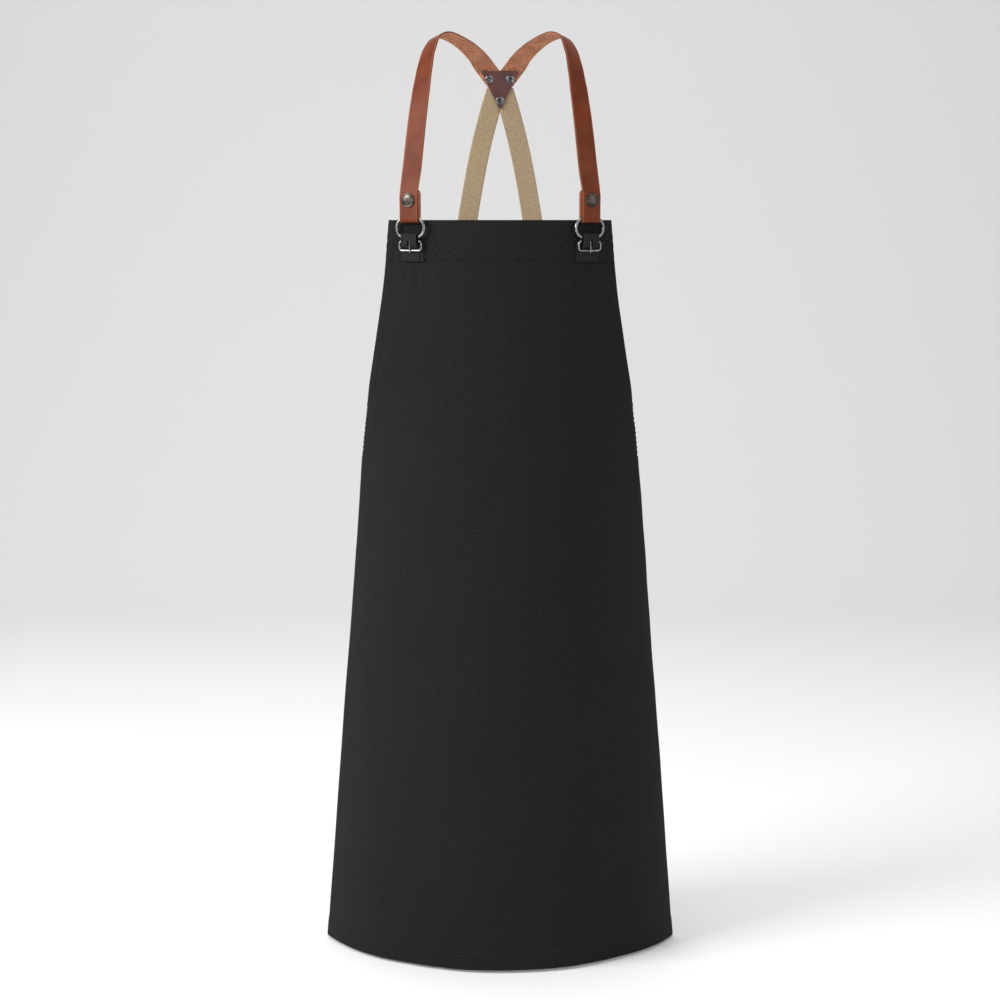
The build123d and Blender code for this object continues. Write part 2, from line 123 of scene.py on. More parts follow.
@dataclass(frozen=True)
class StrapSizes:
    """Driving dimensions of the straps, the yoke and the hardware."""

    hardware_x: float = 0.103
    width: float = 0.024
    leather: float = 0.0022
    loop_gap: float = 0.0053
    ring_length: float = 0.0407
    ring_height: float = 0.0259
    ring_wire: float = 0.0035
    ring_drop: float = 0.0092
    loop_bottom: float = 0.0035
    leaf_top: float = 0.036
    tail_length: float = 0.031
    tail_hinge_height: float = 0.005
    tail_corner: float = 0.006
    snap_height: float = 0.023
    snap_cap: float = 0.0168
    webbing: float = 0.0012
    touch: float = 0.00005
    link_clearance: float = 0.0002
    buckle_width: float = 0.032
    buckle_bar_drop: float = 0.0248
    buckle_bar_spacing: float = 0.0108
    buckle_wire: float = 0.0028
    back_width: float = 0.0246
    back_thickness: float = 0.002
    back_anchor_inset: float = 0.028
    back_overlap: float = 0.032
    back_lift: float = 0.00045
    yoke_drop: float = 0.0615
    yoke_depth: float = 0.088
    yoke_lean: float = 14.0
    yoke_leather: float = 0.0018
    seam: float = 0.003
    rivet_head: float = 0.011
    rivet_bore: float = 0.0044
    rivet_spread: float = 0.013
    rivet_rise: float = 0.014
    rivet_fall: float = 0.0125


CLOTH = ClothSizes()
STRAP = StrapSizes()


def smooth(value: float) -> float:
    """Zero below 0, one above 1, and level at both ends."""
    value = min(max(value, 0.0), 1.0)
    return value * value * (3.0 - 2.0 * value)


def bump_at(value: float, centre: float, width: float) -> float:
    """A soft hill of height one, centred on a value."""
    return math.exp(-(((value - centre) / width) ** 2))


class Section:
    """Half of the cloth's horizontal section at a distance below the top edge."""

    def __init__(self, drop: float, size: ClothSizes = CLOTH) -> None:
        """Work out the section's arcs.

        Args:
            drop: Distance below the top edge.
            size: The cloth's driving dimensions.
        """
        self.drop = drop
        self.size = size
        inset = (size.side_line_width - size.bib_width) / 2
        flare = size.hem_width - size.side_line_width
        line = (size.side_line_width + flare * drop / size.body_length) / 2
        inset_run = (drop - size.inset_from) / (size.inset_to - size.inset_from)
        self.half_width = line - inset * (1 - smooth(inset_run))
        spread = size.hem_angle - size.bib_angle
        opened = smooth(drop / size.angle_full_at)
        self.angle = math.radians(size.bib_angle + spread * opened)
        grown = smooth((drop - size.armhole_from / 2) / size.armhole_from)
        growth = size.side_turn_radius - size.bib_turn_radius
        self.turn_radius = size.bib_turn_radius + growth * grown
        sine = math.sin(self.angle)
        self.front_radius = (self.half_width - self.turn_radius * (1 - sine)) / sine
        share = drop / size.body_length
        self.front_y = -size.bib_forward - size.front_belly * share * share * (3 - 2 * share)
        end_x = self.front_radius * sine
        end_y = self.front_y + self.front_radius * (1 - math.cos(self.angle))
        self.turn_x = end_x - self.turn_radius * sine
        self.turn_y = end_y + self.turn_radius * math.cos(self.angle)
        self._close_back(size)

    def _close_back(self, size: ClothSizes) -> None:
        """Fit the back arc between the side turn and the centre-back edge.

        Args:
            size: The cloth's driving dimensions.
        """
        back_x = size.back_gap / 2
        back_y = size.back_depth - size.bib_forward
        bulge = math.radians(size.back_bulge)
        self.back_angle = math.radians(125)
        for _ in range(8):
            turn_x = self.turn_x + self.turn_radius * math.sin(self.back_angle)
            turn_y = self.turn_y - self.turn_radius * math.cos(self.back_angle)
            chord = math.hypot(back_x - turn_x, back_y - turn_y)
            self.back_angle = math.atan2(back_y - turn_y, back_x - turn_x) - bulge
        self.back_radius = chord / (2 * math.sin(bulge))
        self.turn_end = (turn_x, turn_y)
        self.front_length = self.front_radius * self.angle
        self.turn_length = self.turn_radius * (self.back_angle - self.angle)
        self.full_length = self.front_length + self.turn_length + 2 * bulge * self.back_radius

    def edge(self) -> float:
        """Arc length from the centre front to the cloth's edge at this height."""
        run = (self.drop - self.size.armhole_from) / (self.size.back_top - self.size.armhole_from)
        share = min(max(run, 0.0), 1.0) ** self.size.armhole_power
        return self.front_length + (self.full_length - self.front_length) * share

    def at(self, length: float, inside: float = 0.0) -> tuple[float, float, float]:
        """Point and heading at an arc length.

        Args:
            length: Arc length from the centre front.
            inside: Distance moved inwards through the cloth.

        Returns:
            X, Y and the heading in radians.
        """
        if length <= self.front_length:
            heading = length / self.front_radius
            x = self.front_radius * math.sin(heading)
            y = self.front_y + self.front_radius * (1 - math.cos(heading))
        elif length <= self.front_length + self.turn_length:
            heading = self.angle + (length - self.front_length) / self.turn_radius
            x = self.turn_x + self.turn_radius * math.sin(heading)
            y = self.turn_y - self.turn_radius * math.cos(heading)
        else:
            turned = (length - self.front_length - self.turn_length) / self.back_radius
            heading = self.back_angle + turned
            start = self.back_angle
            x = self.turn_end[0] + self.back_radius * (math.sin(heading) - math.sin(start))
            y = self.turn_end[1] - self.back_radius * (math.cos(heading) - math.cos(start))
        return x - inside * math.sin(heading), y + inside * math.cos(heading), heading


class HardwareFrame:
    """Local frame of one side's hardware: X across, +Y inwards, Z up, origin at the top edge."""

    def __init__(self, side: Side) -> None:
        """Place the frame on the bib.

        Args:
            side: Which side of the apron.
        """
        bib = Section(CLOTH.facing_height)
        self.heading = math.asin(STRAP.hardware_x / bib.front_radius)
        self.arc = bib.front_radius * self.heading
        y = bib.front_y + bib.front_radius * (1 - math.cos(self.heading))
        self.origin = Vector((side.sign * STRAP.hardware_x, y, -CLOTH.bib_drop))
        self.x_dir = Vector((math.cos(self.heading), side.sign * math.sin(self.heading), 0.0))
        self.y_dir = Vector((-self.x_dir.y, self.x_dir.x, 0.0))

    def place(self, x: float, y: float, z: float) -> Vector:
        """A local point in the shared frame."""
        return self.origin + self.x_dir * x + self.y_dir * y + Vector((0, 0, z))

    def matrix(self, x: float, y: float, z: float) -> Matrix:
        """The placement, at a local point, of a part whose own Z points out of the bib."""
        basis = Matrix((self.x_dir, Vector((0, 0, 1)), -self.y_dir)).transposed()
        return Matrix.Translation(self.place(x, y, z)) @ basis.to_4x4()


class Layers:
    """Depths of the layers at the hardware, from the cloth outwards, in the hardware frame."""

    patch_face = -(STRAP.touch + STRAP.webbing)
    link_back = patch_face - STRAP.link_clearance
    bar = link_back - STRAP.webbing - STRAP.loop_gap / 2
    leaf_inner = bar - STRAP.loop_gap / 2
    leaf_mid = leaf_inner - STRAP.leather / 2
    leaf_face = leaf_inner - STRAP.leather
    tail_inner = bar + STRAP.loop_gap / 2
    tail_mid = tail_inner + STRAP.leather / 2
    fold_z = -STRAP.loop_bottom + STRAP.leather + STRAP.loop_gap / 2
    fold_radius = (STRAP.loop_gap + STRAP.leather) / 2
    half_stack = STRAP.leather / 2 + STRAP.touch
    stack = half_stack + STRAP.yoke_leather


def on_yoke(x: float, up: float, out: float = 0.0) -> Vector:
    """A place on the yoke's middle layer, in its own leaning plane.

    Args:
        x: Place across.
        up: Place up the leather.
        out: Distance away from the wearer.

    Returns:
        The point in the shared frame.
    """
    lean = math.radians(STRAP.yoke_lean)
    y = STRAP.yoke_depth - up * math.sin(lean) + out * math.cos(lean)
    z = -STRAP.yoke_drop + up * math.cos(lean) + out * math.sin(lean)
    return Vector((x, y, z))


def yoke_along(right: float, up: float) -> Vector:
    """A direction in the yoke's plane."""
    return on_yoke(right, up) - on_yoke(0.0, 0.0)


# ---------------------------------------------------------------- mesh helpers


def add_object(name: str, data: bpy.types.ID) -> bpy.types.Object:
    """Make an object of this data in the scene."""
    made = bpy.data.objects.new(name, data)
    bpy.context.scene.collection.objects.link(made)
    return made


@dataclass
class MeshMaker:
    """Collects vertices, faces, UVs and a face-side value, and turns them into one object."""

    name: str
    points: list[Vector] = field(default_factory=list)
    faces: list[tuple[int, ...]] = field(default_factory=list)
    uvs: list[tuple[float, float]] = field(default_factory=list)
    layers: list[float] = field(default_factory=list)

    def add(self, point: Point, uv: tuple[float, float] = (0.0, 0.0), layer: float = 0.0) -> int:
        """Add a vertex.

        Args:
            point: Its place.
            uv: Its place on the flat material, in metres.
            layer: +1 on the outer face, -1 on the inner face, 0 on the cut edge.

        Returns:
            The vertex's index.
        """
        self.points.append(Vector(point))
        self.uvs.append(uv)
        self.layers.append(layer)
        return len(self.points) - 1

    def bridge(self, first: Sequence[int], second: Sequence[int], closed: bool = True) -> None:
        """Join two rows of vertices with quads.

        Args:
            first: One row.
            second: The next row, of the same length.
            closed: Whether the rows are loops.
        """
        count = len(first)
        for index in range(count if closed else count - 1):
            after = (index + 1) % count
            self.faces.append((first[index], first[after], second[after], second[index]))

    def build(self, trim: Callable[[bmesh.types.BMesh], None] | None = None) -> bpy.types.Object:
        """Make the object.

        Args:
            trim: An optional last change to the mesh.

        Returns:
            The object, linked to the scene, with a UV map and the attribute "layer".
        """
        mesh = bpy.data.meshes.new(self.name)
        mesh.from_pydata([tuple(p) for p in self.points], [], self.faces)
        layer = mesh.attributes.new("layer", "FLOAT", "POINT")
        layer.data.foreach_set("value", self.layers)
        uv_map = mesh.uv_layers.new(name="flat")
        corner_uvs = [value for loop in mesh.loops for value in self.uvs[loop.vertex_index]]
        uv_map.data.foreach_set("uv", corner_uvs)
        work = bmesh.new()
        work.from_mesh(mesh)
        if trim:
            trim(work)
        bmesh.ops.recalc_face_normals(work, faces=work.faces[:])
        work.to_mesh(mesh)
        work.free()
        mesh.polygons.foreach_set("use_smooth", [True] * len(mesh.polygons))
        return add_object(self.name, mesh)


def finish_piece(made: bpy.types.Object, material: bpy.types.Material,
                 replaces: Iterable[str] = (), body: str | None = MAIN_BODY) -> bpy.types.Object:
    """Give a piece its material and body.

    Args:
        made: The piece.
        material: Its Blender material.
        replaces: CAD nodes that it stands for.
        body: The CAD body that it rides on, or None.

    Returns:
        The same piece.
    """
    made.data.materials.clear()
    made.data.materials.append(material)
    if replaces:
        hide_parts(*replaces)
    if body:
        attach(made, body)
    return made


def lathe(maker: MeshMaker, profile: Sequence[tuple[float, float]], place: Matrix,
          turns: int) -> None:
    """Turn a profile round the placement's Z axis.

    Args:
        maker: The mesh to add to.
        profile: (radius, height) pairs; it is closed on the axis where a radius is zero.
        place: The placement.
        turns: Number of steps round the axis.
    """
    rings = []
    for radius, height in profile:
        count = turns if radius > 0 else 1
        ring = []
        for step in range(count):
            angle = 2 * math.pi * step / turns
            local = Vector((radius * math.cos(angle), radius * math.sin(angle), height))
            ring.append(maker.add(place @ local))
        rings.append(ring)
    for low, high in zip(rings[:-1], rings[1:]):
        if len(low) == 1:
            maker.faces += [(low[0], high[(k + 1) % turns], high[k]) for k in range(turns)]
        elif len(high) == 1:
            maker.faces += [(high[0], low[k], low[(k + 1) % turns]) for k in range(turns)]
        else:
            maker.bridge(low, high)


def arc_profile(centre: tuple[float, float], radius: float, start: float, end: float,
                steps: int = 6) -> list[tuple[float, float]]:
    """Points round an arc of a profile.

    Args:
        centre: The arc's centre.
        radius: Its radius.
        start: First angle in degrees.
        end: Last angle in degrees.
        steps: Number of spans.

    Returns:
        The points in order.
    """
    angles = [math.radians(start + (end - start) * k / steps) for k in range(steps + 1)]
    return [(centre[0] + radius * math.cos(a), centre[1] + radius * math.sin(a)) for a in angles]


def closed_tube(maker: MeshMaker, path: Sequence[Vector], diameter: float,
                around: int = 18) -> None:
    """A round wire along a closed path.

    Args:
        maker: The mesh to add to.
        path: Points of the wire's centreline.
        diameter: The wire's diameter.
        around: Number of points round the wire.
    """
    count = len(path)
    normal = (path[1] - path[0]).cross(path[count // 3] - path[0]).normalized()
    loops = []
    for index, centre in enumerate(path):
        along = (path[(index + 1) % count] - path[index - 1]).normalized()
        outward = along.cross(normal)
        loop = []
        for step in range(around):
            angle = 2 * math.pi * step / around
            offset = outward * math.cos(angle) + normal * math.sin(angle)
            loop.append(maker.add(centre + offset * diameter / 2))
        loops.append(loop)
    for index in range(count):
        maker.bridge(loops[index], loops[(index + 1) % count])


@dataclass
class Station:
    """One place along a strap."""

    centre: Vector
    across: Vector

    @classmethod
    def on_side(cls, side: Side, centre: Point, across: Point) -> "Station":
        """A station listed for +X, placed on either side.

        Args:
            side: Which side of the apron.
            centre: The strap's centre.
            across: Its width direction, which always points to +X.

        Returns:
            The station.
        """
        sign = side.sign
        place = Vector((centre[0] * sign, centre[1], centre[2]))
        return cls(place, Vector((across[0], across[1] * sign, across[2] * sign)))


def spline_through(stations: Sequence[Station], spacing: float) -> list[Station]:
    """A Catmull-Rom curve through stations, cut into short steps.

    Args:
        stations: The places it passes through.
        spacing: Length of each step.

    Returns:
        Closely spaced stations.
    """
    made: list[Station] = []
    last = len(stations) - 1
    for index in range(last):
        near = [stations[min(max(index + k, 0), last)] for k in (-1, 0, 1, 2)]
        length = (near[2].centre - near[1].centre).length
        before = max((near[1].centre - near[0].centre).length, 1e-6)
        after = max((near[3].centre - near[2].centre).length, 1e-6)
        leave = (near[2].centre - near[0].centre) * (length / (length + before))
        arrive = (near[3].centre - near[1].centre) * (length / (length + after))
        if index == 0:
            leave = near[2].centre - near[1].centre
        if index == last - 1:
            arrive = near[2].centre - near[1].centre
        steps = max(1, round(length / spacing))
        for step in range(steps + (index == last - 1)):
            t = step / steps
            centre = (near[1].centre * (2 * t**3 - 3 * t**2 + 1) + leave * (t**3 - 2 * t**2 + t)
                      + near[2].centre * (3 * t**2 - 2 * t**3) + arrive * (t**3 - t**2))
            across = near[1].across.lerp(near[2].across, smooth(t)).normalized()
            made.append(Station(centre, across))
    return made


@dataclass
class Ribbon:
    """A flat strap with rounded edges along closely spaced stations.

    Its edges' radius is a share of the thickness, and end_corner rounds its first end's corners.
    """

    stations: Sequence[Station]
    width: float
    thickness: float
    edge: float = 0.42
    end_corner: float = 0.0
    edge_steps: int = 4
    flats: int = 9
    burnish_gain: float = 1.4
    burnish_start: float = 0.2

    def _outline(self, half: float) -> list[tuple[float, float, float]]:
        """The section's outline.

        Args:
            half: Half of the width here.

        Returns:
            (across, out, layer) for each point, in order round the section.
        """
        radius = self.thickness * self.edge
        top = self.thickness / 2
        corner = []
        for x, y in arc_profile((half - radius, top - radius), radius, 0, 90, self.edge_steps):
            up = (y - top + radius) / radius
            corner.append((x, y, smooth(up * self.burnish_gain - self.burnish_start)))
        outline = []
        for sign in (1, -1):
            outline += [(x * sign, y * sign, layer * sign) for x, y, layer in corner]
            for step in range(1, self.flats):
                x = (half - radius) * (1 - 2 * step / self.flats)
                outline.append((x * sign, top * sign, float(sign)))
            outline += [(-x * sign, y * sign, layer * sign) for x, y, layer in reversed(corner)]
        return outline

    def into(self, maker: MeshMaker) -> None:
        """Add the strap to a mesh.

        Args:
            maker: The mesh to add to.
        """
        run = 0.0
        rows = []
        last = len(self.stations) - 1
        for index, station in enumerate(self.stations):
            ahead = self.stations[min(index + 1, last)].centre
            behind = self.stations[max(index - 1, 0)].centre
            along = (ahead - behind).normalized()
            across = (station.across - along * station.across.dot(along)).normalized()
            out = across.cross(along)
            if index:
                run += (station.centre - behind).length
            half = self.width / 2
            if run < self.end_corner:
                short = self.end_corner - run
                half += math.sqrt(self.end_corner**2 - short**2) - self.end_corner
            row = []
            for x, y, layer in self._outline(half):
                row.append(maker.add(station.centre + across * x + out * y, (x, run), layer))
            rows.append(row)
        for first, second in zip(rows[:-1], rows[1:]):
            maker.bridge(first, second)
        maker.faces.append(tuple(reversed(rows[0])))
        maker.faces.append(tuple(rows[-1]))


def cut_away(work: bmesh.types.BMesh, chosen: Callable[[Vector], bool], point: Vector,
             normal: Vector) -> None:
    """Cut off what lies beyond a plane, in one region of a mesh, and close the cut.

    Args:
        work: The mesh.
        chosen: Says whether a place belongs to the region.
        point: A point on the plane.
        normal: The direction of what is cut off.
    """
    faces = [f for f in work.faces if any(chosen(v.co) for v in f.verts)]
    edges = dict.fromkeys(e for f in faces for e in f.edges)
    region = [*faces, *edges, *dict.fromkeys(v for f in faces for v in f.verts)]
    bmesh.ops.bisect_plane(work, geom=region, plane_co=point, plane_no=normal, clear_outer=True)
    rims = [e for e in work.edges if e.is_boundary]
    if rims:
        bmesh.ops.holes_fill(work, edges=rims, sides=0)


# ---------------------------------------------------------------- shader helpers


@dataclass(frozen=True)
class Sock:
    """A shader value whose arithmetic makes Math nodes."""

    graph: "Graph"
    socket: bpy.types.NodeSocket

    def _maths(self, operation: str, *others: "Sock | float", swap: bool = False) -> "Sock":
        """One Math node.

        Args:
            operation: The node's operation.
            others: Further operands.
            swap: Whether this value is the second operand.

        Returns:
            The result.
        """
        operands = [self, *others]
        if swap:
            operands.reverse()
        return self.graph.node("ShaderNodeMath", dict(enumerate(operands)), operation=operation)

    def __add__(self, other: "Sock | float") -> "Sock":
        """Sum."""
        return self._maths("ADD", other)

    def __sub__(self, other: "Sock | float") -> "Sock":
        """Difference."""
        return self._maths("SUBTRACT", other)

    def __rsub__(self, other: float) -> "Sock":
        """Reflected difference."""
        return self._maths("SUBTRACT", other, swap=True)

    def __mul__(self, other: "Sock | float") -> "Sock":
        """Product."""
        return self._maths("MULTIPLY", other)

    def __abs__(self) -> "Sock":
        """Size without its sign."""
        return self._maths("ABSOLUTE")

    __radd__ = __add__
    __rmul__ = __mul__

    def sine(self) -> "Sock":
        """Sine."""
        return self._maths("SINE")

    def step(self, low: float, high: float) -> "Sock":
        """Zero below low, one above high, and smooth between them.

        Args:
            low: Where it leaves zero.
            high: Where it reaches one.

        Returns:
            The result.
        """
        inputs = {0: self, 1: low, 2: high, 3: 0.0, 4: 1.0}
        return self.graph.node("ShaderNodeMapRange", inputs, interpolation_type="SMOOTHSTEP")


class Coordinates(Enum):
    """What a fabric's pattern follows."""

    FLAT = "flat"
    OBJECT = "object"


class Graph:
    """The node tree of one material."""

    def __init__(self, name: str) -> None:
        """Start a material with a Principled shader.

        Args:
            name: The material's name.
        """
        self.material = bpy.data.materials.new(name)
        self.material.use_nodes = True
        self.tree = self.material.node_tree
        self.shader = self.tree.nodes["Principled BSDF"]

    def node(self, kind: str, inputs: dict | None = None, output: int | str = 0,
             **options: object) -> Sock:
        """Make any node.

        Args:
            kind: The node's type.
            inputs: Values or wrapped sockets by input index or name.
            output: The output wanted.
            options: Properties of the node.

        Returns:
            The wrapped output.
        """
        made = self.tree.nodes.new(kind)
        for key, value in options.items():
            setattr(made, key, value)
        for key, value in (inputs or {}).items():
            self.feed(made.inputs[key], value)
        return Sock(self, made.outputs[output])

    def feed(self, socket: bpy.types.NodeSocket, value: object) -> None:
        """Link or set an input.

        Args:
            socket: The input.
            value: A wrapped socket, a number or a tuple.
        """
        if isinstance(value, Sock):
            self.tree.links.new(value.socket, socket)
        else:
            socket.default_value = value

    def set(self, **inputs: object) -> None:
        """Set the shader's inputs; an underscore in a name stands for a space."""
        for key, value in inputs.items():
            if isinstance(value, tuple):
                value = (*value, 1.0)
            self.feed(self.shader.inputs[key.replace("_", " ")], value)

    def noise(self, vector: Sock, scale: float, detail: float = 3.0) -> Sock:
        """Cloudy noise from 0 to 1."""
        return self.node("ShaderNodeTexNoise", {"Vector": vector, "Scale": scale, "Detail": detail})

    def colour(self, share: Sock, low: Colour | Sock, high: Colour | Sock) -> Sock:
        """Mix two colours.

        Args:
            share: 0 for the first colour and 1 for the second.
            low: The first colour.
            high: The second colour.

        Returns:
            The mixed colour.
        """
        low = low if isinstance(low, Sock) else (*low, 1.0)
        high = high if isinstance(high, Sock) else (*high, 1.0)
        return self.node("ShaderNodeMix", {0: share, 6: low, 7: high}, output=2, data_type="RGBA")

    def bump(self, height: Sock, distance: float, strength: float = 1.0) -> None:
        """Shade the surface with small relief of this depth."""
        given = {"Height": height, "Distance": distance, "Strength": strength}
        self.set(Normal=self.node("ShaderNodeBump", given))

    def pebbles(self, vector: Sock, scale: float) -> Sock:
        """The rounded grain of leather."""
        given = {"Vector": vector, "Scale": scale}
        return self.node("ShaderNodeTexVoronoi", given, output="Distance")

    def place(self, kind: Coordinates) -> Sock:
        """The pattern's coordinates, in metres."""
        if kind is Coordinates.FLAT:
            return self.node("ShaderNodeUVMap", uv_map="flat")
        return self.node("ShaderNodeTexCoord", output="Object")

    def layer(self) -> Sock:
        """+1 on the outer face, -1 on the inner face and 0 on the cut edge."""
        return self.node("ShaderNodeAttribute", output="Fac", attribute_name="layer")

    def split(self, vector: Sock) -> tuple[Sock, Sock, Sock]:
        """A vector's three parts."""
        parts = self.node("ShaderNodeSeparateXYZ", {0: vector}).socket.node
        return tuple(Sock(self, out) for out in parts.outputs)


NOISE_RANGE = (0.3, 0.7)


@dataclass(frozen=True)
class ClothFinish:
    """Matt woven cloth."""

    name: str
    dark: Colour
    light: Colour
    yarn: float
    depth: float
    coordinates: Coordinates = Coordinates.FLAT
    rough: float = 0.9
    sheen: float = 0.02
    gloss: float = 0.12
    slub_scale: float = 0.6
    cloud_scale: float = 9.0
    slub_share: float = 0.72
    cloud_share: float = 0.08
    weave_share: float = 0.2
    slub_height: float = 0.8
    bump_strength: float = 0.7

    def build(self) -> bpy.types.Material:
        """Make the material.

        Returns:
            The Blender material.
        """
        graph = Graph(self.name)
        place = graph.place(self.coordinates)
        across, along, up = graph.split(place)
        if self.coordinates is Coordinates.OBJECT:
            along = up
        warp = (across * (2 * math.pi / self.yarn)).sine()
        weft = (along * (2 * math.pi / self.yarn)).sine()
        weave = warp * weft * 0.5 + 0.5
        slub = graph.noise(place, self.slub_scale / self.yarn, 2.0)
        cloud = graph.noise(place, self.cloud_scale, 4.0)
        tone = slub * self.slub_share + cloud * self.cloud_share + weave * self.weave_share
        graph.set(Base_Color=graph.colour(tone.step(*NOISE_RANGE), self.dark, self.light))
        graph.set(Roughness=self.rough, Specular_IOR_Level=self.gloss, Sheen_Weight=self.sheen)
        graph.bump(weave + slub * self.slub_height, self.depth, self.bump_strength)
        return graph.material


@dataclass(frozen=True)
class StrapLeatherFinish:
    """Vegetable-tanned leather: smooth outside, suede inside, dark burnished edges and painted edge
    highlights.
    """

    name: str = "strap_leather_look"
    grain_dark: Colour = (0.098, 0.017, 0.0035)
    grain_light: Colour = (0.140, 0.028, 0.0065)
    flesh_dark: Colour = (0.30, 0.120, 0.062)
    flesh_light: Colour = (0.50, 0.225, 0.130)
    # Painted highlight: lighter colour laid along both edges of the grain face.
    rim: Colour = (0.28, 0.085, 0.026)
    edge: Colour = (0.085, 0.018, 0.006)
    cloud_scale: float = 45.0
    fibre_scale: float = 520.0
    pebble_scale: float = 1100.0
    # Span of the painted highlight across the strap, as shares of its width, and its strength.
    highlight_from: float = 0.42
    highlight_to: float = 0.47
    highlight_share: float = 0.6
    fibre_range: tuple[float, float] = (0.42, 0.58)
    face_range: tuple[float, float] = (0.1, 0.7)
    rough: float = 0.42
    suede_rough: float = 0.42
    gloss: float = 0.16
    depth: float = 0.00016

    def build(self) -> bpy.types.Material:
        """Make the material.

        Returns:
            The Blender material.
        """
        graph = Graph(self.name)
        flat = graph.place(Coordinates.FLAT)
        place = graph.place(Coordinates.OBJECT)
        layer = graph.layer()
        across = abs(graph.split(flat)[0])
        cloud = graph.noise(place, self.cloud_scale, 4.0)
        fibre = graph.noise(place, self.fibre_scale, 3.0)
        grain = graph.colour(cloud.step(*NOISE_RANGE), self.grain_dark, self.grain_light)
        # Painted highlight: a lighter band along both edges of the grain face.
        rim = across.step(STRAP.width * self.highlight_from, STRAP.width * self.highlight_to)
        grain = graph.colour(rim * self.highlight_share, grain, self.rim)
        flesh_tone = (cloud * 0.3 + fibre * 0.7).step(*self.fibre_range)
        flesh = graph.colour(flesh_tone, self.flesh_dark, self.flesh_light)
        outside = graph.colour(layer.step(*self.face_range), self.edge, grain)
        inside = (0.0 - layer).step(*self.face_range)
        graph.set(Base_Color=graph.colour(inside, outside, flesh))
        roughness = inside * self.suede_rough + cloud * 0.10 + self.rough
        graph.set(Roughness=roughness, Specular_IOR_Level=self.gloss)
        graph.bump(graph.pebbles(place, self.pebble_scale) * 0.5 + fibre, self.depth, 0.6)
        return graph.material


@dataclass(frozen=True)
class SolidLeatherFinish:
    """Polished leather of one colour."""

    name: str = "yoke_leather_look"
    dark: Colour = (0.048, 0.006, 0.004)
    light: Colour = (0.085, 0.011, 0.007)
    rough: float = 0.26
    cloud_scale: float = 60.0
    pebble_scale: float = 900.0
    polish: float = 0.35
    polish_rough: float = 0.15
    depth: float = 0.0001

    def build(self) -> bpy.types.Material:
        """Make the material.

        Returns:
            The Blender material.
        """
        graph = Graph(self.name)
        place = graph.place(Coordinates.OBJECT)
        cloud = graph.noise(place, self.cloud_scale, 4.0)
        graph.set(Base_Color=graph.colour(cloud.step(*NOISE_RANGE), self.dark, self.light))
        graph.set(Roughness=cloud * 0.2 + (self.rough - 0.1), Coat_Weight=self.polish,
                  Coat_Roughness=self.polish_rough)
        graph.bump(graph.pebbles(place, self.pebble_scale), self.depth, 0.5)
        return graph.material


@dataclass(frozen=True)
class MetalFinish:
    """Plated metal with faint handling marks."""

    name: str
    dark: Colour
    light: Colour
    rough: float
    cloud_scale: float = 160.0
    cloud_range: tuple[float, float] = (0.35, 0.65)
    scratch_scale: float = 700.0
    depth: float = 0.00003

    def build(self) -> bpy.types.Material:
        """Make the material.

        Returns:
            The Blender material.
        """
        graph = Graph(self.name)
        place = graph.place(Coordinates.OBJECT)
        cloud = graph.noise(place, self.cloud_scale, 4.0)
        graph.set(Base_Color=graph.colour(cloud.step(*self.cloud_range), self.dark, self.light))
        graph.set(Metallic=1.0, Roughness=cloud * 0.16 + (self.rough - 0.08))
        graph.bump(graph.noise(place, self.scratch_scale, 2.0), self.depth, 0.5)
        return graph.material


class Looks:
    """Every material of the apron, made once."""

    def __init__(self) -> None:
        """Build the materials; cloth is given its colours, yarn pitch and relief."""
        black = ((0.0050, 0.0050, 0.0054), (0.0145, 0.0145, 0.0150), 0.0012, 0.00026)
        tape = ((0.010, 0.010, 0.011), (0.021, 0.021, 0.022), 0.0009, 0.0002)
        thread = ((0.016, 0.016, 0.017), (0.030, 0.030, 0.031), 0.0005, 0.00005)
        webbing = ((0.29, 0.215, 0.130), (0.41, 0.315, 0.200), 0.0016, 0.0004)
        solid = Coordinates.OBJECT
        self.canvas = ClothFinish("canvas_look", *black).build()
        self.canvas_trim = ClothFinish("canvas_trim_look", *black, solid).build()
        self.tape = ClothFinish("tab_cloth_look", *tape, solid).build()
        self.thread = ClothFinish("thread_look", *thread, solid).build()
        self.webbing = ClothFinish("webbing_look", *webbing).build()
        self.strap = StrapLeatherFinish().build()
        self.yoke = SolidLeatherFinish().build()
        nickel = ((0.17, 0.17, 0.175), (0.27, 0.27, 0.275), 0.24)
        rivet = ((0.10, 0.10, 0.11), (0.22, 0.22, 0.23), 0.26)
        gunmetal = ((0.035, 0.030, 0.027), (0.13, 0.108, 0.092), 0.36)
        self.nickel = MetalFinish("nickel_look", *nickel).build()
        self.rivet = MetalFinish("rivet_look", *rivet).build()
        self.gunmetal = MetalFinish("gunmetal_look", *gunmetal).build()


# ---------------------------------------------------------------- cloth body


@dataclass(frozen=True)
class FoldSizes:
    """Heights and spacings of the cloth's soft folds, creases and seams."""

    wide_flute: float = 0.0009
    wide_flute_length: float = 0.23
    narrow_flute: float = 0.0006
    narrow_flute_length: float = 0.127
    dent: float = 0.0007
    dent_length: float = 0.17
    ripple: float = 0.0004
    ripple_length: float = 0.052
    crease: float = 0.0007
    crease_pitch: float = 0.0075
    crease_beside: float = 0.027
    crease_spread: float = 0.011
    crease_drop: float = 0.030
    crease_fall: float = 0.022
    tab_half_width: float = 0.016
    droop: float = 0.0006
    droop_spread: float = 0.03
    droop_below: float = 0.016
    droop_fall: float = 0.012
    hem_step: float = 0.0006
    side_step: float = 0.0004
    facing_groove: float = 0.0020
    hem_groove: float = 0.0004
    groove_fade: float = 0.014
    pucker_pitch: float = 0.011


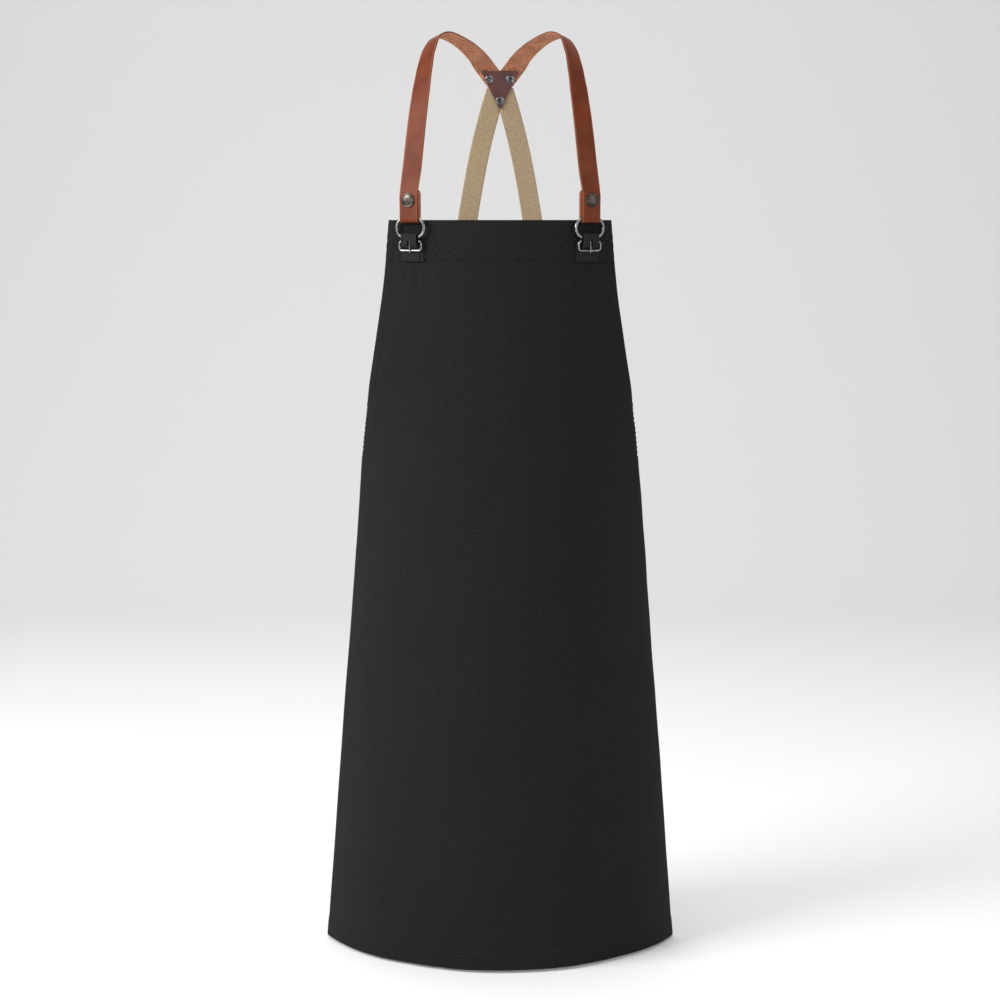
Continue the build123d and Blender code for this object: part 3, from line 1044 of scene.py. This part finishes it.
@dataclass
class ApronCloth:
    """The wrap-round canvas body with its soft folds and turned hems."""

    size: ClothSizes
    hardware_arc: float
    folds: FoldSizes = FoldSizes()
    columns: int = 100
    rows_in_middle: int = 136
    rows_in_hem: int = 16
    facing_row: float = 0.0013
    hem_row: float = 0.002
    facing_margin: float = 0.012
    hem_margin: float = 0.008
    edge_round: float = 0.0008
    flare_reach: float = 0.07
    flat_area: float = 0.0
    flat_width: float = 0.0

    def drops(self) -> list[float]:
        """Distances of the mesh's rows below the top edge, closer at the facing and the hem."""
        length = self.size.body_length
        facing_end = self.size.facing_height + self.facing_margin
        hem_start = length - self.size.hem_fold - self.hem_margin
        rows = [0.0, self.edge_round]
        rows += [self.facing_row * step for step in range(2, round(facing_end / self.facing_row))]
        middle = self.rows_in_middle
        rows += [facing_end + (hem_start - facing_end) * step / middle for step in range(middle)]
        rows += [hem_start + self.hem_row * step for step in range(self.rows_in_hem)]
        return rows + [length - self.edge_round, length]

    def edge_lengths(self, section: Section) -> list[float]:
        """Arc lengths of the mesh's columns on one side, closer at the turned edge.

        Args:
            section: The section they lie on.

        Returns:
            Arc lengths from the centre front outwards.
        """
        edge = section.edge()
        main_end = edge - self.size.edge_fold - 0.0015
        lengths = [main_end * step / self.columns for step in range(self.columns + 1)]
        return lengths + [edge - self.size.edge_fold, edge - 0.005, edge - 0.001, edge]

    def flare(self, arc: float, section: Section) -> float:
        """How far the armhole's edge opens outwards, which keeps the side line straight.

        Args:
            arc: Arc length from the centre front.
            section: The section at this height.

        Returns:
            The outward distance.
        """
        edge_x, _, heading = section.at(section.edge())
        if heading >= math.pi / 2:
            return 0.0
        near = smooth((arc - section.front_length + self.flare_reach) / self.flare_reach)
        return (section.half_width - edge_x) / math.sin(heading) * near

    def relief(self, arc: float, section: Section) -> float:
        """How far the cloth stands out from its plain shape.

        Args:
            arc: Arc length from the centre front; it is negative at -X.
            section: The section at this height.

        Returns:
            The outward distance.
        """
        size, fold = self.size, self.folds
        drop = section.drop
        share = drop / size.body_length
        skirt = smooth((share - 0.2) / 0.75)
        wave = 2 * math.pi * arc
        narrow = wave / fold.narrow_flute_length + 2.4 + 1.3 * share
        flutes = (fold.wide_flute * math.sin(wave / fold.wide_flute_length + 0.9)
                  + fold.narrow_flute * math.sin(narrow))
        bib = smooth((share - 0.07) / 0.08) * (1 - 0.6 * skirt)
        dents = (fold.dent * math.sin(wave / fold.dent_length + 7.0 * share)
                 * math.sin(9.5 * share + 0.6))
        ripples = (fold.ripple * math.sin(wave / fold.ripple_length + 23 * share)
                   * math.sin(31 * share + 12 * arc))
        beside = abs(arc) - self.hardware_arc
        clear = (smooth((abs(beside) - fold.tab_half_width) / 0.006)
                 + smooth((drop - size.facing_height) / 0.004))
        slanted = (drop * 0.6 + abs(beside) * 0.8) / fold.crease_pitch
        near = (bump_at(abs(beside), fold.crease_beside, fold.crease_spread)
                * bump_at(drop, fold.crease_drop, fold.crease_fall))
        creases = fold.crease * near * min(clear, 1.0) * (1 + math.sin(2 * math.pi * slanted))
        droop_line = size.facing_height + fold.droop_below
        below = (fold.droop * bump_at(beside, 0.0, fold.droop_spread)
                 * bump_at(drop, droop_line, fold.droop_fall))
        droop = below * (1 + math.sin(2 * math.pi * arc / 0.016))
        hem_top = size.body_length - size.hem_fold
        hem = fold.hem_step * smooth((drop - hem_top) / 0.002)
        side_fold = section.edge() - size.edge_fold
        side_hem = fold.side_step * smooth((abs(arc) - side_fold) / 0.0014 + 1)
        from_edge = section.edge() - abs(arc)
        seams = (fold.facing_groove * bump_at(drop, size.facing_height - 0.001, 0.0020)
                 * smooth(from_edge / fold.groove_fade)
                 + fold.hem_groove * bump_at(drop, hem_top + 0.003, 0.0022))
        pucker = 0.5 + 0.5 * math.sin(
            2 * math.pi * arc / fold.pucker_pitch + 3 * math.sin(40 * arc))
        return (skirt * flutes + bib * (dents + ripples) + creases + droop + hem + side_hem
                + self.flare(abs(arc), section) - seams * (0.7 + 0.3 * pucker))

    def point(self, arc: float, section: Section, inside: float = 0.0) -> Vector:
        """A place on the cloth.

        Args:
            arc: Arc length from the centre front; it is negative at -X.
            section: The section at this height.
            inside: Distance moved inwards from the outer face.

        Returns:
            The point in the shared frame.
        """
        x, y, _ = section.at(abs(arc), inside - self.relief(arc, section))
        x = math.copysign(x, arc) if arc else 0.0
        return Vector((x, y, -self.size.bib_drop - section.drop))

    def build(self, looks: Looks) -> bpy.types.Object:
        """Make the cloth as one closed sheet.

        Args:
            looks: The materials.

        Returns:
            The cloth, riding on the main body.
        """
        maker = MeshMaker("canvas_body")
        outer: list[list[int]] = []
        inner: list[list[int]] = []
        before = (0.0, 0.0)
        for drop in self.drops():
            section = Section(drop, self.size)
            half = self.edge_lengths(section)
            arcs = [-arc for arc in reversed(half[1:])] + half
            outer.append([maker.add(self.point(a, section), (a, drop), 1.0) for a in arcs])
            inner.append([
                maker.add(self.point(a, section, self.size.canvas), (a, drop), -1.0) for a in arcs])
            self.flat_area += (drop - before[0]) * (half[-1] + before[1])
            before = (drop, half[-1])
        for rows in (outer, inner):
            for first, second in zip(rows[:-1], rows[1:]):
                maker.bridge(first, second, closed=False)
        maker.bridge(outer[0], inner[0], closed=False)
        maker.bridge(outer[-1], inner[-1], closed=False)
        for end in (0, -1):
            maker.bridge([row[end] for row in outer], [row[end] for row in inner], closed=False)
        body = maker.build()
        self.flat_width = 2 * before[1]
        return finish_piece(body, looks.canvas, ["body_panel"])

    def seam_rows(self) -> list[list[Vector]]:
        """Routes of the rows of stitches, just proud of the cloth.

        Returns:
            One list of points per row.
        """
        proud = -0.0001
        rows = []
        for drop in (self.size.facing_height - 0.003,
                     self.size.body_length - self.size.hem_fold + 0.003):
            section = Section(drop, self.size)
            reach = section.edge() - 0.004
            count = round(2 * reach / 0.003)
            arcs = [-reach + 2 * reach * k / count for k in range(count + 1)]
            rows.append([self.point(arc, section, proud) for arc in arcs])
        steps = round(self.size.body_length / 0.004)
        for side in Side:
            row = []
            for k in range(1, steps):
                section = Section(self.size.body_length * k / steps, self.size)
                arc = side.sign * (section.edge() - self.size.edge_fold + 0.002)
                row.append(self.point(arc, section, proud))
            rows.append(row)
        return rows


@dataclass
class Stitching:
    """Rows of short stitches, laid by Geometry Nodes along given routes."""

    name: str
    material: bpy.types.Material
    pitch: float = 0.0034
    stitch_length: float = 0.0027
    thread: float = 0.00055
    seed: int = 7
    smallest: Place = (0.9, 0.9, 0.88)
    largest: Place = (1.05, 1.05, 1.04)

    def _group(self) -> bpy.types.NodeTree:
        """The node group: route to curve, points, stitches, real mesh and material.

        Returns:
            The node group.
        """
        tree = bpy.data.node_groups.new(self.name + "_nodes", "GeometryNodeTree")
        sockets = (("Geometry", "Geometry"), ("Pitch", "Float"), ("Stitch Length", "Float"),
                   ("Thread", "Float"), ("Seed", "Int"), ("Material", "Material"))
        for label, kind in sockets:
            tree.interface.new_socket(label, in_out="INPUT", socket_type="NodeSocket" + kind)
        tree.interface.new_socket("Geometry", in_out="OUTPUT", socket_type="NodeSocketGeometry")

        def add(kind: str, inputs: dict, **options: object) -> bpy.types.NodeOutputs:
            """Make a node, set or link its inputs, and give its outputs.

            Args:
                kind: The node's type.
                inputs: Values or sockets by input index or name.
                options: Properties of the node.

            Returns:
                The node's outputs.
            """
            made = tree.nodes.new(kind)
            for key, value in options.items():
                setattr(made, key, value)
            for key, value in inputs.items():
                if isinstance(value, bpy.types.NodeSocket):
                    tree.links.new(value, made.inputs[key])
                else:
                    made.inputs[key].default_value = value
            return made.outputs

        given = add("NodeGroupInput", {})
        curve = add("GeometryNodeMeshToCurve", {0: given["Geometry"]})
        points = add("GeometryNodeCurveToPoints", {
            "Curve": curve[0], "Length": given["Pitch"]}, mode="LENGTH")
        stitch = add("GeometryNodeMeshUVSphere", {"Segments": 6, "Rings": 4, "Radius": 0.5})
        size = add("ShaderNodeCombineXYZ", {
            0: given["Thread"], 1: given["Thread"], 2: given["Stitch Length"]})
        uneven = add("FunctionNodeRandomValue", {
            0: self.smallest, 1: self.largest, "Seed": given["Seed"]}, data_type="FLOAT_VECTOR")
        scale = add("ShaderNodeVectorMath", {0: size[0], 1: uneven[0]}, operation="MULTIPLY")
        placed = add("GeometryNodeInstanceOnPoints", {
            "Points": points["Points"], "Instance": stitch["Mesh"],
            "Rotation": points["Rotation"], "Scale": scale[0]})
        real = add("GeometryNodeRealizeInstances", {0: placed[0]})
        painted = add("GeometryNodeSetMaterial", {0: real[0], "Material": given["Material"]})
        add("NodeGroupOutput", {0: painted[0]})
        return tree

    def build(self, routes: Sequence[Sequence[Vector]], slot: str) -> bpy.types.Object:
        """Sew the stitches.

        Args:
            routes: Points of each row.
            slot: The record's material slot; not used.

        Returns:
            The stitches, riding on the main body.
        """
        points = [tuple(p) for route in routes for p in route]
        edges = []
        start = 0
        for route in routes:
            edges += [(start + k, start + k + 1) for k in range(len(route) - 1)]
            start += len(route)
        line = bpy.data.meshes.new(self.name + "_route")
        line.from_pydata(points, edges, [])
        rows = add_object(self.name + "_route", line)
        sew = rows.modifiers.new("sew", "NODES")
        sew.node_group = self._group()
        given = {"Pitch": self.pitch, "Stitch Length": self.stitch_length, "Thread": self.thread,
                 "Seed": self.seed, "Material": self.material}
        for item in sew.node_group.interface.items_tree:
            if item.in_out == "INPUT" and item.name in given:
                sew[item.identifier] = given[item.name]
        rows.update_tag()
        graph = bpy.context.evaluated_depsgraph_get()
        mesh = bpy.data.meshes.new_from_object(rows.evaluated_get(graph), depsgraph=graph)
        mesh.name = self.name
        bpy.data.objects.remove(rows)
        made = add_object(self.name, mesh)
        mesh.polygons.foreach_set("use_smooth", [True] * len(mesh.polygons))
        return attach(made, MAIN_BODY)


# ---------------------------------------------------------------- straps, yoke and hardware


@dataclass
class OnBib:
    """Something that is placed by the hardware frame of one side."""

    side: Side

    def __post_init__(self) -> None:
        """Work out the frame."""
        self.hardware = HardwareFrame(self.side)


@dataclass
class ShoulderStrap(OnBib):
    """One leather strap: loop round the ring, flat leaf, run over the shoulder, end in the yoke."""

    spacing: float = 0.0035
    start: tuple[float, float] = (0.0195, 0.0295)
    bend_reach: float = 0.0035
    route: tuple[tuple[Place, Place], ...] = (
        ((0.1030, -0.0855, -0.1615), (0.93, 0.37, 0.00)),
        ((0.1000, -0.0820, -0.1335), (0.92, 0.39, 0.00)),
        ((0.0970, -0.0760, -0.1055), (0.90, 0.43, 0.00)),
        ((0.0935, -0.0680, -0.0775), (0.86, 0.50, 0.00)),
        ((0.0895, -0.0550, -0.0485), (0.76, 0.65, 0.00)),
        ((0.0850, -0.0420, -0.0255), (0.64, 0.76, -0.05)),
        ((0.0780, -0.0250, -0.0080), (0.56, 0.78, -0.22)),
        ((0.0670, -0.0070, -0.0020), (0.55, 0.80, -0.20)),
        ((0.0530, 0.0120, -0.0056), (0.60, 0.76, -0.22)),
        ((0.0385, 0.0310, -0.0140), (0.72, 0.62, -0.27)),
        ((0.0270, 0.0510, -0.0240), (0.95, 0.18, -0.18)),
    )

    def _fold(self, start: float, end: float) -> list[Station]:
        """Stations round the fold under the ring, in degrees from the inner leaf."""
        centre = (Layers.bar, Layers.fold_z)
        arc = arc_profile(centre, Layers.fold_radius, start, end, 8)
        return [Station(self.hardware.place(0, y, z), self.hardware.x_dir) for y, z in arc]

    def front(self) -> list[Station]:
        """The route from the bottom of the fold to the yoke.

        Returns:
            Closely spaced stations.
        """
        across = self.hardware.x_dir
        given = self._fold(-90, -180)
        leaf = [STRAP.leaf_top * share for share in (0.25, 0.5, 0.8)]
        given += [Station(self.hardware.place(0, Layers.leaf_mid, z), across) for z in leaf]
        given += [Station.on_side(self.side, *place) for place in self.route]
        flip = self.side.sign
        x, up = self.start
        width = yoke_along(0.80, -0.60 * flip)
        for run in (0.0, 0.012, 0.024, 0.040):
            given.append(Station(on_yoke(flip * (x - 0.6 * run), up - 0.8 * run), width))
        return spline_through(given, self.spacing)

    def back_leaf(self) -> list[Station]:
        """The route from the tail's free end down to the bottom of the fold.

        Returns:
            Closely spaced stations.
        """
        across = self.hardware.x_dir
        top = STRAP.tail_hinge_height + STRAP.tail_length
        fine = [top - STRAP.tail_corner * share for share in (0.0, 0.08, 0.2, 0.36, 0.6, 1.0)]
        steps = 12
        low = Layers.fold_z
        run = [fine[-1] + (low - fine[-1]) * k / steps for k in range(1, steps)]
        given = [Station(self.hardware.place(0, Layers.tail_mid, z), across) for z in fine + run]
        return given + self._fold(0, -90)

    def build(self, looks: Looks) -> list[bpy.types.Object]:
        """Make the strap and its folded tail.

        Args:
            looks: The materials.

        Returns:
            The strap and its tail.
        """
        name = self.side.value
        maker = MeshMaker(f"leather_strap_{name}")
        Ribbon(self.front(), STRAP.width, STRAP.leather).into(maker)
        strap = maker.build(trim=self._trim)
        finish_piece(strap, looks.strap, [f"shoulder_strap_{name}"])
        maker = MeshMaker(f"folded_tail_{name}")
        Ribbon(self.back_leaf(), STRAP.width, STRAP.leather,
               end_corner=STRAP.tail_corner).into(maker)
        tail = maker.build()
        finish_piece(tail, looks.strap, [f"strap_tail_{name}"], body=None)
        hinge = STRAP.tail_hinge_height
        below = self.hardware.place(0, Layers.tail_mid, hinge - self.bend_reach)
        above = self.hardware.place(0, Layers.tail_mid, hinge + self.bend_reach)
        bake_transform(tail)
        return [strap, tail]

    def _trim(self, work: bmesh.types.BMesh) -> None:
        """Cut the end inside the yoke at the centre line and at the seam with the woven strap."""
        x, up = self.start
        in_yoke = on_yoke(0.0, up + 0.012)
        inward = Vector((-self.side.sign, 0, 0))
        cut_away(work, lambda p: p.y > in_yoke.y, Vector((0, 0, 0)), inward)
        seam = on_yoke(0.0, STRAP.seam)
        cut_away(work, lambda p: p.y > in_yoke.y, seam, -yoke_along(0.0, 1.0))


@dataclass
class BackStrap:
    """One woven strap, from the yoke down to the back corner of the cloth."""

    side: Side
    spacing: float = 0.006
    start: tuple[float, float] = (0.0126, -0.0265)
    slope: float = 16.9
    route: tuple[tuple[Place, Place], ...] = (
        ((0.0230, 0.1015, -0.1265), (0.980, 0.02, -0.19)),
        ((0.0315, 0.1025, -0.1670), (0.980, 0.00, -0.17)),
        ((0.0395, 0.1020, -0.2130), (0.985, -0.02, -0.16)),
        ((0.0490, 0.0995, -0.2750), (0.985, -0.06, -0.14)),
        ((0.0590, 0.0955, -0.3450), (0.980, -0.14, -0.12)),
        ((0.0680, 0.0905, -0.4200), (0.960, -0.24, -0.09)),
    )

    def _on_cloth(self, drop: float) -> Station:
        """A station on the outside of the back panel.

        Args:
            drop: Distance below the bib's top edge.

        Returns:
            The station.
        """
        section = Section(drop)
        lift = STRAP.back_lift + STRAP.back_thickness / 2
        x, y, heading = section.at(section.full_length - STRAP.back_anchor_inset, -lift)
        sign = self.side.sign
        across = Vector((-math.cos(heading), -sign * math.sin(heading), 0.0))
        return Station(Vector((sign * x, y, -CLOTH.bib_drop - drop)), across)

    def stations(self) -> list[Station]:
        """The whole route, from the seam in the yoke down to the strap's end.

        Returns:
            Closely spaced stations.
        """
        sign = self.side.sign
        slope = math.radians(self.slope)
        x, up = self.start
        width = yoke_along(math.cos(slope), -sign * math.sin(slope))
        given = []
        for run in (0.044, 0.030, 0.015, 0.0):
            place = on_yoke(sign * (x - math.sin(slope) * run), up + math.cos(slope) * run)
            given.append(Station(place, width))
        given += [Station.on_side(self.side, *place) for place in self.route]
        top, overlap = CLOTH.back_top, STRAP.back_overlap
        drops = (top - 0.014, top + overlap / 2, top + overlap)
        return spline_through(given + [self._on_cloth(drop) for drop in drops], self.spacing)

    def build(self, looks: Looks) -> bpy.types.Object:
        """Make the strap.

        Args:
            looks: The materials.

        Returns:
            The strap, riding on the main body.
        """
        name = self.side.value
        maker = MeshMaker(f"woven_strap_{name}")
        Ribbon(self.stations(), STRAP.back_width, STRAP.back_thickness, edge=0.46).into(maker)
        strap = maker.build(trim=self._trim)
        return finish_piece(strap, looks.webbing, [f"back_strap_{name}"])

    def _trim(self, work: bmesh.types.BMesh) -> None:
        """Cut the end inside the yoke at the centre line and at the seam with the leather strap."""
        low = on_yoke(0.0, self.start[1])
        seam = on_yoke(0.0, STRAP.seam - STRAP.touch)
        inward = Vector((-self.side.sign, 0, 0))
        cut_away(work, lambda p: p.z > low.z, Vector((0, 0, 0)), inward)
        cut_away(work, lambda p: p.z > low.z, seam, yoke_along(0.0, 1.0))


@dataclass
class WireHardware(OnBib):
    """The oval ring and the buckle's frame on one side."""

    buckle_corner: float = 1.2

    def _rounded(self, width: float, height: float, radius: float, middle: float) -> list[Vector]:
        """A rounded upright rectangle round the bars.

        Args:
            width: Its width.
            height: Its height.
            radius: Its corner radius.
            middle: The height of its centre.

        Returns:
            Points round it.
        """
        corners = [(1, 1, 0), (-1, 1, 90), (-1, -1, 180), (1, -1, 270)]
        points = []
        for sx, sz, start in corners:
            centre = (sx * (width / 2 - radius), middle + sz * (height / 2 - radius))
            points += arc_profile(centre, radius, start, start + 90, 9)
        apart = [p for k, p in enumerate(points) if math.dist(p, points[k - 1]) > 1e-6]
        return [self.hardware.place(x, Layers.bar, z) for x, z in apart]

    def build(self, looks: Looks) -> list[bpy.types.Object]:
        """Make the ring and the buckle frame.

        Args:
            looks: The materials.

        Returns:
            The two pieces, each riding on its own body.
        """
        name = self.side.value
        made = []
        wire = STRAP.ring_wire
        ring_size = (STRAP.ring_length - wire, STRAP.ring_height - wire)
        ring = self._rounded(*ring_size, ring_size[1] / 2, -STRAP.ring_drop)
        bars = STRAP.buckle_bar_spacing
        middle = -STRAP.buckle_bar_drop - bars / 2
        wide = STRAP.buckle_width - STRAP.buckle_wire
        corner = STRAP.buckle_wire * self.buckle_corner
        frame_path = self._rounded(wide, bars, corner, middle)
        pieces = (("ring_wire", ring, wire, "oval_ring", "ring"),
                  ("buckle_wire", frame_path, STRAP.buckle_wire, "buckle_frame", "buckle"))
        for piece, path, diameter, node, body in pieces:
            maker = MeshMaker(f"{piece}_{name}")
            closed_tube(maker, path, diameter)
            made.append(finish_piece(
                maker.build(), looks.nickel, [f"{node}_{name}"], f"{body}_{name}"))
        return made


@dataclass
class Studs:
    """Snap caps and rivets: everything turned on a lathe."""

    looks: Looks
    head: float = 0.0009
    cap_height: float = 0.0026
    cap_steps: int = 48
    rivet_steps: int = 36
    shank_wall: float = 0.0008

    def snap_cap(self, side: Side) -> bpy.types.Object:
        """The domed cap on the front of a strap.

        Args:
            side: Which side of the apron.

        Returns:
            The cap.
        """
        radius = STRAP.snap_cap / 2
        roll = self.cap_height * 0.42
        dome = [(radius * 0.80 * math.cos(a), roll * 1.5 + self.cap_height * 0.45 * math.sin(a))
                for a in (math.radians(90 * k / 8) for k in range(9))]
        dome[-1] = (0.0, dome[-1][1])
        profile = [(0.0, 0.0), (radius * 0.9, 0.0)]
        profile += arc_profile((radius - roll, roll), roll, -60, 100, 8)
        profile += [(radius - roll * 1.7, roll * 1.55)] + dome
        maker = MeshMaker(f"snap_dome_{side.value}")
        hardware = HardwareFrame(side)
        place = hardware.matrix(0, Layers.leaf_face - STRAP.touch, STRAP.snap_height)
        lathe(maker, profile, place, self.cap_steps)
        nodes = [f"snap_cap_{side.value}"]
        return finish_piece(maker.build(), self.looks.gunmetal, nodes)

    def yoke_rivets(self) -> list[bpy.types.Object]:
        """Tubular rivets with rolled rims, and their caps on the outside of the yoke.

        Returns:
            The rivets and the caps.
        """
        places = ((-STRAP.rivet_spread, STRAP.rivet_rise), (STRAP.rivet_spread, STRAP.rivet_rise),
                  (0.0, -STRAP.rivet_fall))
        lean = math.radians(STRAP.yoke_lean)
        out = Vector((0, -math.cos(lean), -math.sin(lean)))
        up = Vector((0, -math.sin(lean), math.cos(lean)))
        basis = Matrix((Vector((1, 0, 0)), up, out)).transposed().to_4x4()
        radius, bore = STRAP.rivet_head / 2, STRAP.rivet_bore / 2
        low = Layers.stack + STRAP.touch
        roll = (radius - bore) / 2
        rim = [(bore + roll + roll * math.cos(a), low + self.head * (0.25 + 0.95 * math.sin(a)))
               for a in (math.radians(180 * k / 10) for k in range(11))]
        shank = bore + self.shank_wall
        floor = Layers.half_stack + STRAP.touch
        tube = [(0.0, floor), (bore * 0.85, floor), *reversed(rim), (radius, low), (shank, low)]
        tube += [(shank, -Layers.stack), (0.0, -Layers.stack)]
        caps = [(0.0, -low), (radius, -low), (radius, -low - self.head * 0.5),
                (radius * 0.8, -low - self.head), (0.0, -low - self.head * 1.15)]
        rivets, backs = MeshMaker("rolled_rivets"), MeshMaker("rivet_backs")
        for x, rise in places:
            place = Matrix.Translation(on_yoke(x, rise)) @ basis
            lathe(rivets, tube, place, self.rivet_steps)
            lathe(backs, caps, place, self.rivet_steps)
        return [finish_piece(rivets.build(), self.looks.rivet, ["tubular_rivets"]),
                finish_piece(backs.build(), self.looks.gunmetal, ["rivet_caps"])]


class CadHardware:
    """CAD nodes shown as they are, with worn edges and a finish each."""

    weld_distance = 0.00001
    bevel_segments = 3
    bevel_angle = math.radians(40)

    def __init__(self, looks: Looks) -> None:
        """Pair each node with its finish.

        Args:
            looks: The materials.
        """
        both = {
            "base_patch": (looks.tape, "tab_cloth", 0.0003),
            "anchor_tab": (looks.tape, "tab_cloth", 0.0004),
            "link_loop": (looks.tape, "tab_cloth", 0.0004),
            "buckle_prong": (looks.nickel, "nickel", 0.0),
            "snap_socket": (looks.gunmetal, "gunmetal", 0.0),
            "snap_stud": (looks.gunmetal, "gunmetal", 0.0),
            "snap_post": (looks.gunmetal, "gunmetal", 0.0),
            "back_rivet": (looks.gunmetal, "gunmetal", 0.0002),
        }
        self.finishes = {
            f"{node}_{side.value}": look for node, look in both.items() for side in Side}
        self.finishes["top_facing"] = (looks.canvas_trim, "canvas", 0.0)
        self.finishes["yoke_inner"] = (looks.yoke, "yoke_leather", 0.0005)
        self.finishes["yoke_outer"] = (looks.yoke, "yoke_leather", 0.0005)

    def dress(self) -> list[bpy.types.Object]:
        """Give every node its material and a small rounding.

        Returns:
            The nodes.
        """
        for name, (material, slot, rounding) in self.finishes.items():
            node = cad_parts[name]
            node.data.materials.clear()
            node.data.materials.append(material)
            if rounding:
                weld = node.modifiers.new("weld", "WELD")
                weld.merge_threshold = self.weld_distance
                bevel = node.modifiers.new("bevel", "BEVEL")
                bevel.width = rounding
                bevel.segments = self.bevel_segments
                bevel.limit_method = "ANGLE"
                bevel.angle_limit = self.bevel_angle
        return [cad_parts[name] for name in self.finishes]


# ---------------------------------------------------------------- studio


@dataclass(frozen=True)
class Studio:
    """Pale sweep, soft lights and the camera."""

    camera_place: Place = (0.0, -2.5716, -0.2215)
    camera_tilt: float = 82.4
    lens: float = 75.55
    sensor: float = 36.0
    floor_gap: float = 0.004
    floor_half: float = 6.0
    floor_back: float = 2.2
    floor_bend: float = 1.6
    paper: Colour = (0.82, 0.82, 0.82)
    world_light: float = 0.55
    aim: Place = (0.0, -0.1, -0.55)
    lamps: tuple[tuple[str, Place, float, float], ...] = (
        ("key", (-2.1, -1.1, 0.6), 1.3, 74.0),
        ("fill", (1.6, -2.3, 0.2), 1.8, 24.0),
        ("top", (0.0, 0.3, 1.7), 1.6, 32.0),
    )

    def build(self) -> None:
        """Make the floor, the lights, the world and the camera."""
        self._floor()
        for lamp in self.lamps:
            self._light(*lamp)
        scene = bpy.context.scene
        scene.view_settings.view_transform = "Standard"
        world = bpy.data.worlds.new("studio_world")
        world.use_nodes = True
        sky = world.node_tree.nodes["Background"].inputs
        sky["Color"].default_value = (1, 1, 1, 1)
        sky["Strength"].default_value = self.world_light
        scene.world = world
        camera = bpy.data.cameras.new("camera")
        camera.lens = self.lens
        camera.sensor_width = self.sensor
        scene.camera = add_object("camera", camera)
        scene.camera.location = self.camera_place
        scene.camera.rotation_euler = (math.radians(self.camera_tilt), 0, 0)

    def _floor(self) -> None:
        """A floor that curves up into a back wall."""
        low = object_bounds()[0].z - self.floor_gap
        half, back, bend = self.floor_half, self.floor_back, self.floor_bend
        curve = arc_profile((0, 0), bend, -90, 0, 24)
        profile = [(-half, low)] + [(back + y, low + bend + z) for y, z in curve]
        profile.append((back + bend, low + half))
        maker = MeshMaker("studio_sweep")
        rows = [[maker.add((x, y, z)) for x in (-half, half)] for y, z in profile]
        for first, second in zip(rows[:-1], rows[1:]):
            maker.bridge(first, second, closed=False)
        graph = Graph("studio_paper")
        graph.set(Base_Color=self.paper, Roughness=0.95)
        sweep = maker.build()
        sweep.data.materials.append(graph.material)
        sweep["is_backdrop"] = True

    def _light(self, name: str, place: Point, size: float, watts: float) -> None:
        """A square soft light that points at the apron's middle.

        Args:
            name: Its name.
            place: Its place.
            size: Its width.
            watts: Its power.
        """
        lamp = bpy.data.lights.new(name, "AREA")
        lamp.size = size
        lamp.energy = watts
        holder = add_object(name, lamp)
        holder.location = place
        aim = Vector(self.aim) - Vector(place)
        holder.rotation_euler = aim.to_track_quat("-Z", "Y").to_euler()


def main() -> None:
    logging.basicConfig(level=logging.INFO)
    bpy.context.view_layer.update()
    looks = Looks()
    cloth = ApronCloth(CLOTH, HardwareFrame(Side.RIGHT).arc)
    body = cloth.build(looks)
    stitches = Stitching("seam_stitches", looks.thread).build(cloth.seam_rows(), "canvas")
    studs = Studs(looks)
    pieces = [body, stitches]
    for side in Side:
        pieces += ShoulderStrap(side).build(looks)
        pieces.append(BackStrap(side).build(looks))
        pieces += WireHardware(side).build(looks)
        pieces.append(studs.snap_cap(side))
    pieces += studs.yoke_rivets()
    pieces += CadHardware(looks).dress()
    for piece in pieces:
        LOG.info("%s: %d vertices", piece.name, len(piece.data.vertices))
    LOG.info("cloth %.3f m wide at the hem, %.3f square metres", cloth.flat_width, cloth.flat_area)
    Studio().build()


if __name__ == "__main__":
    main()
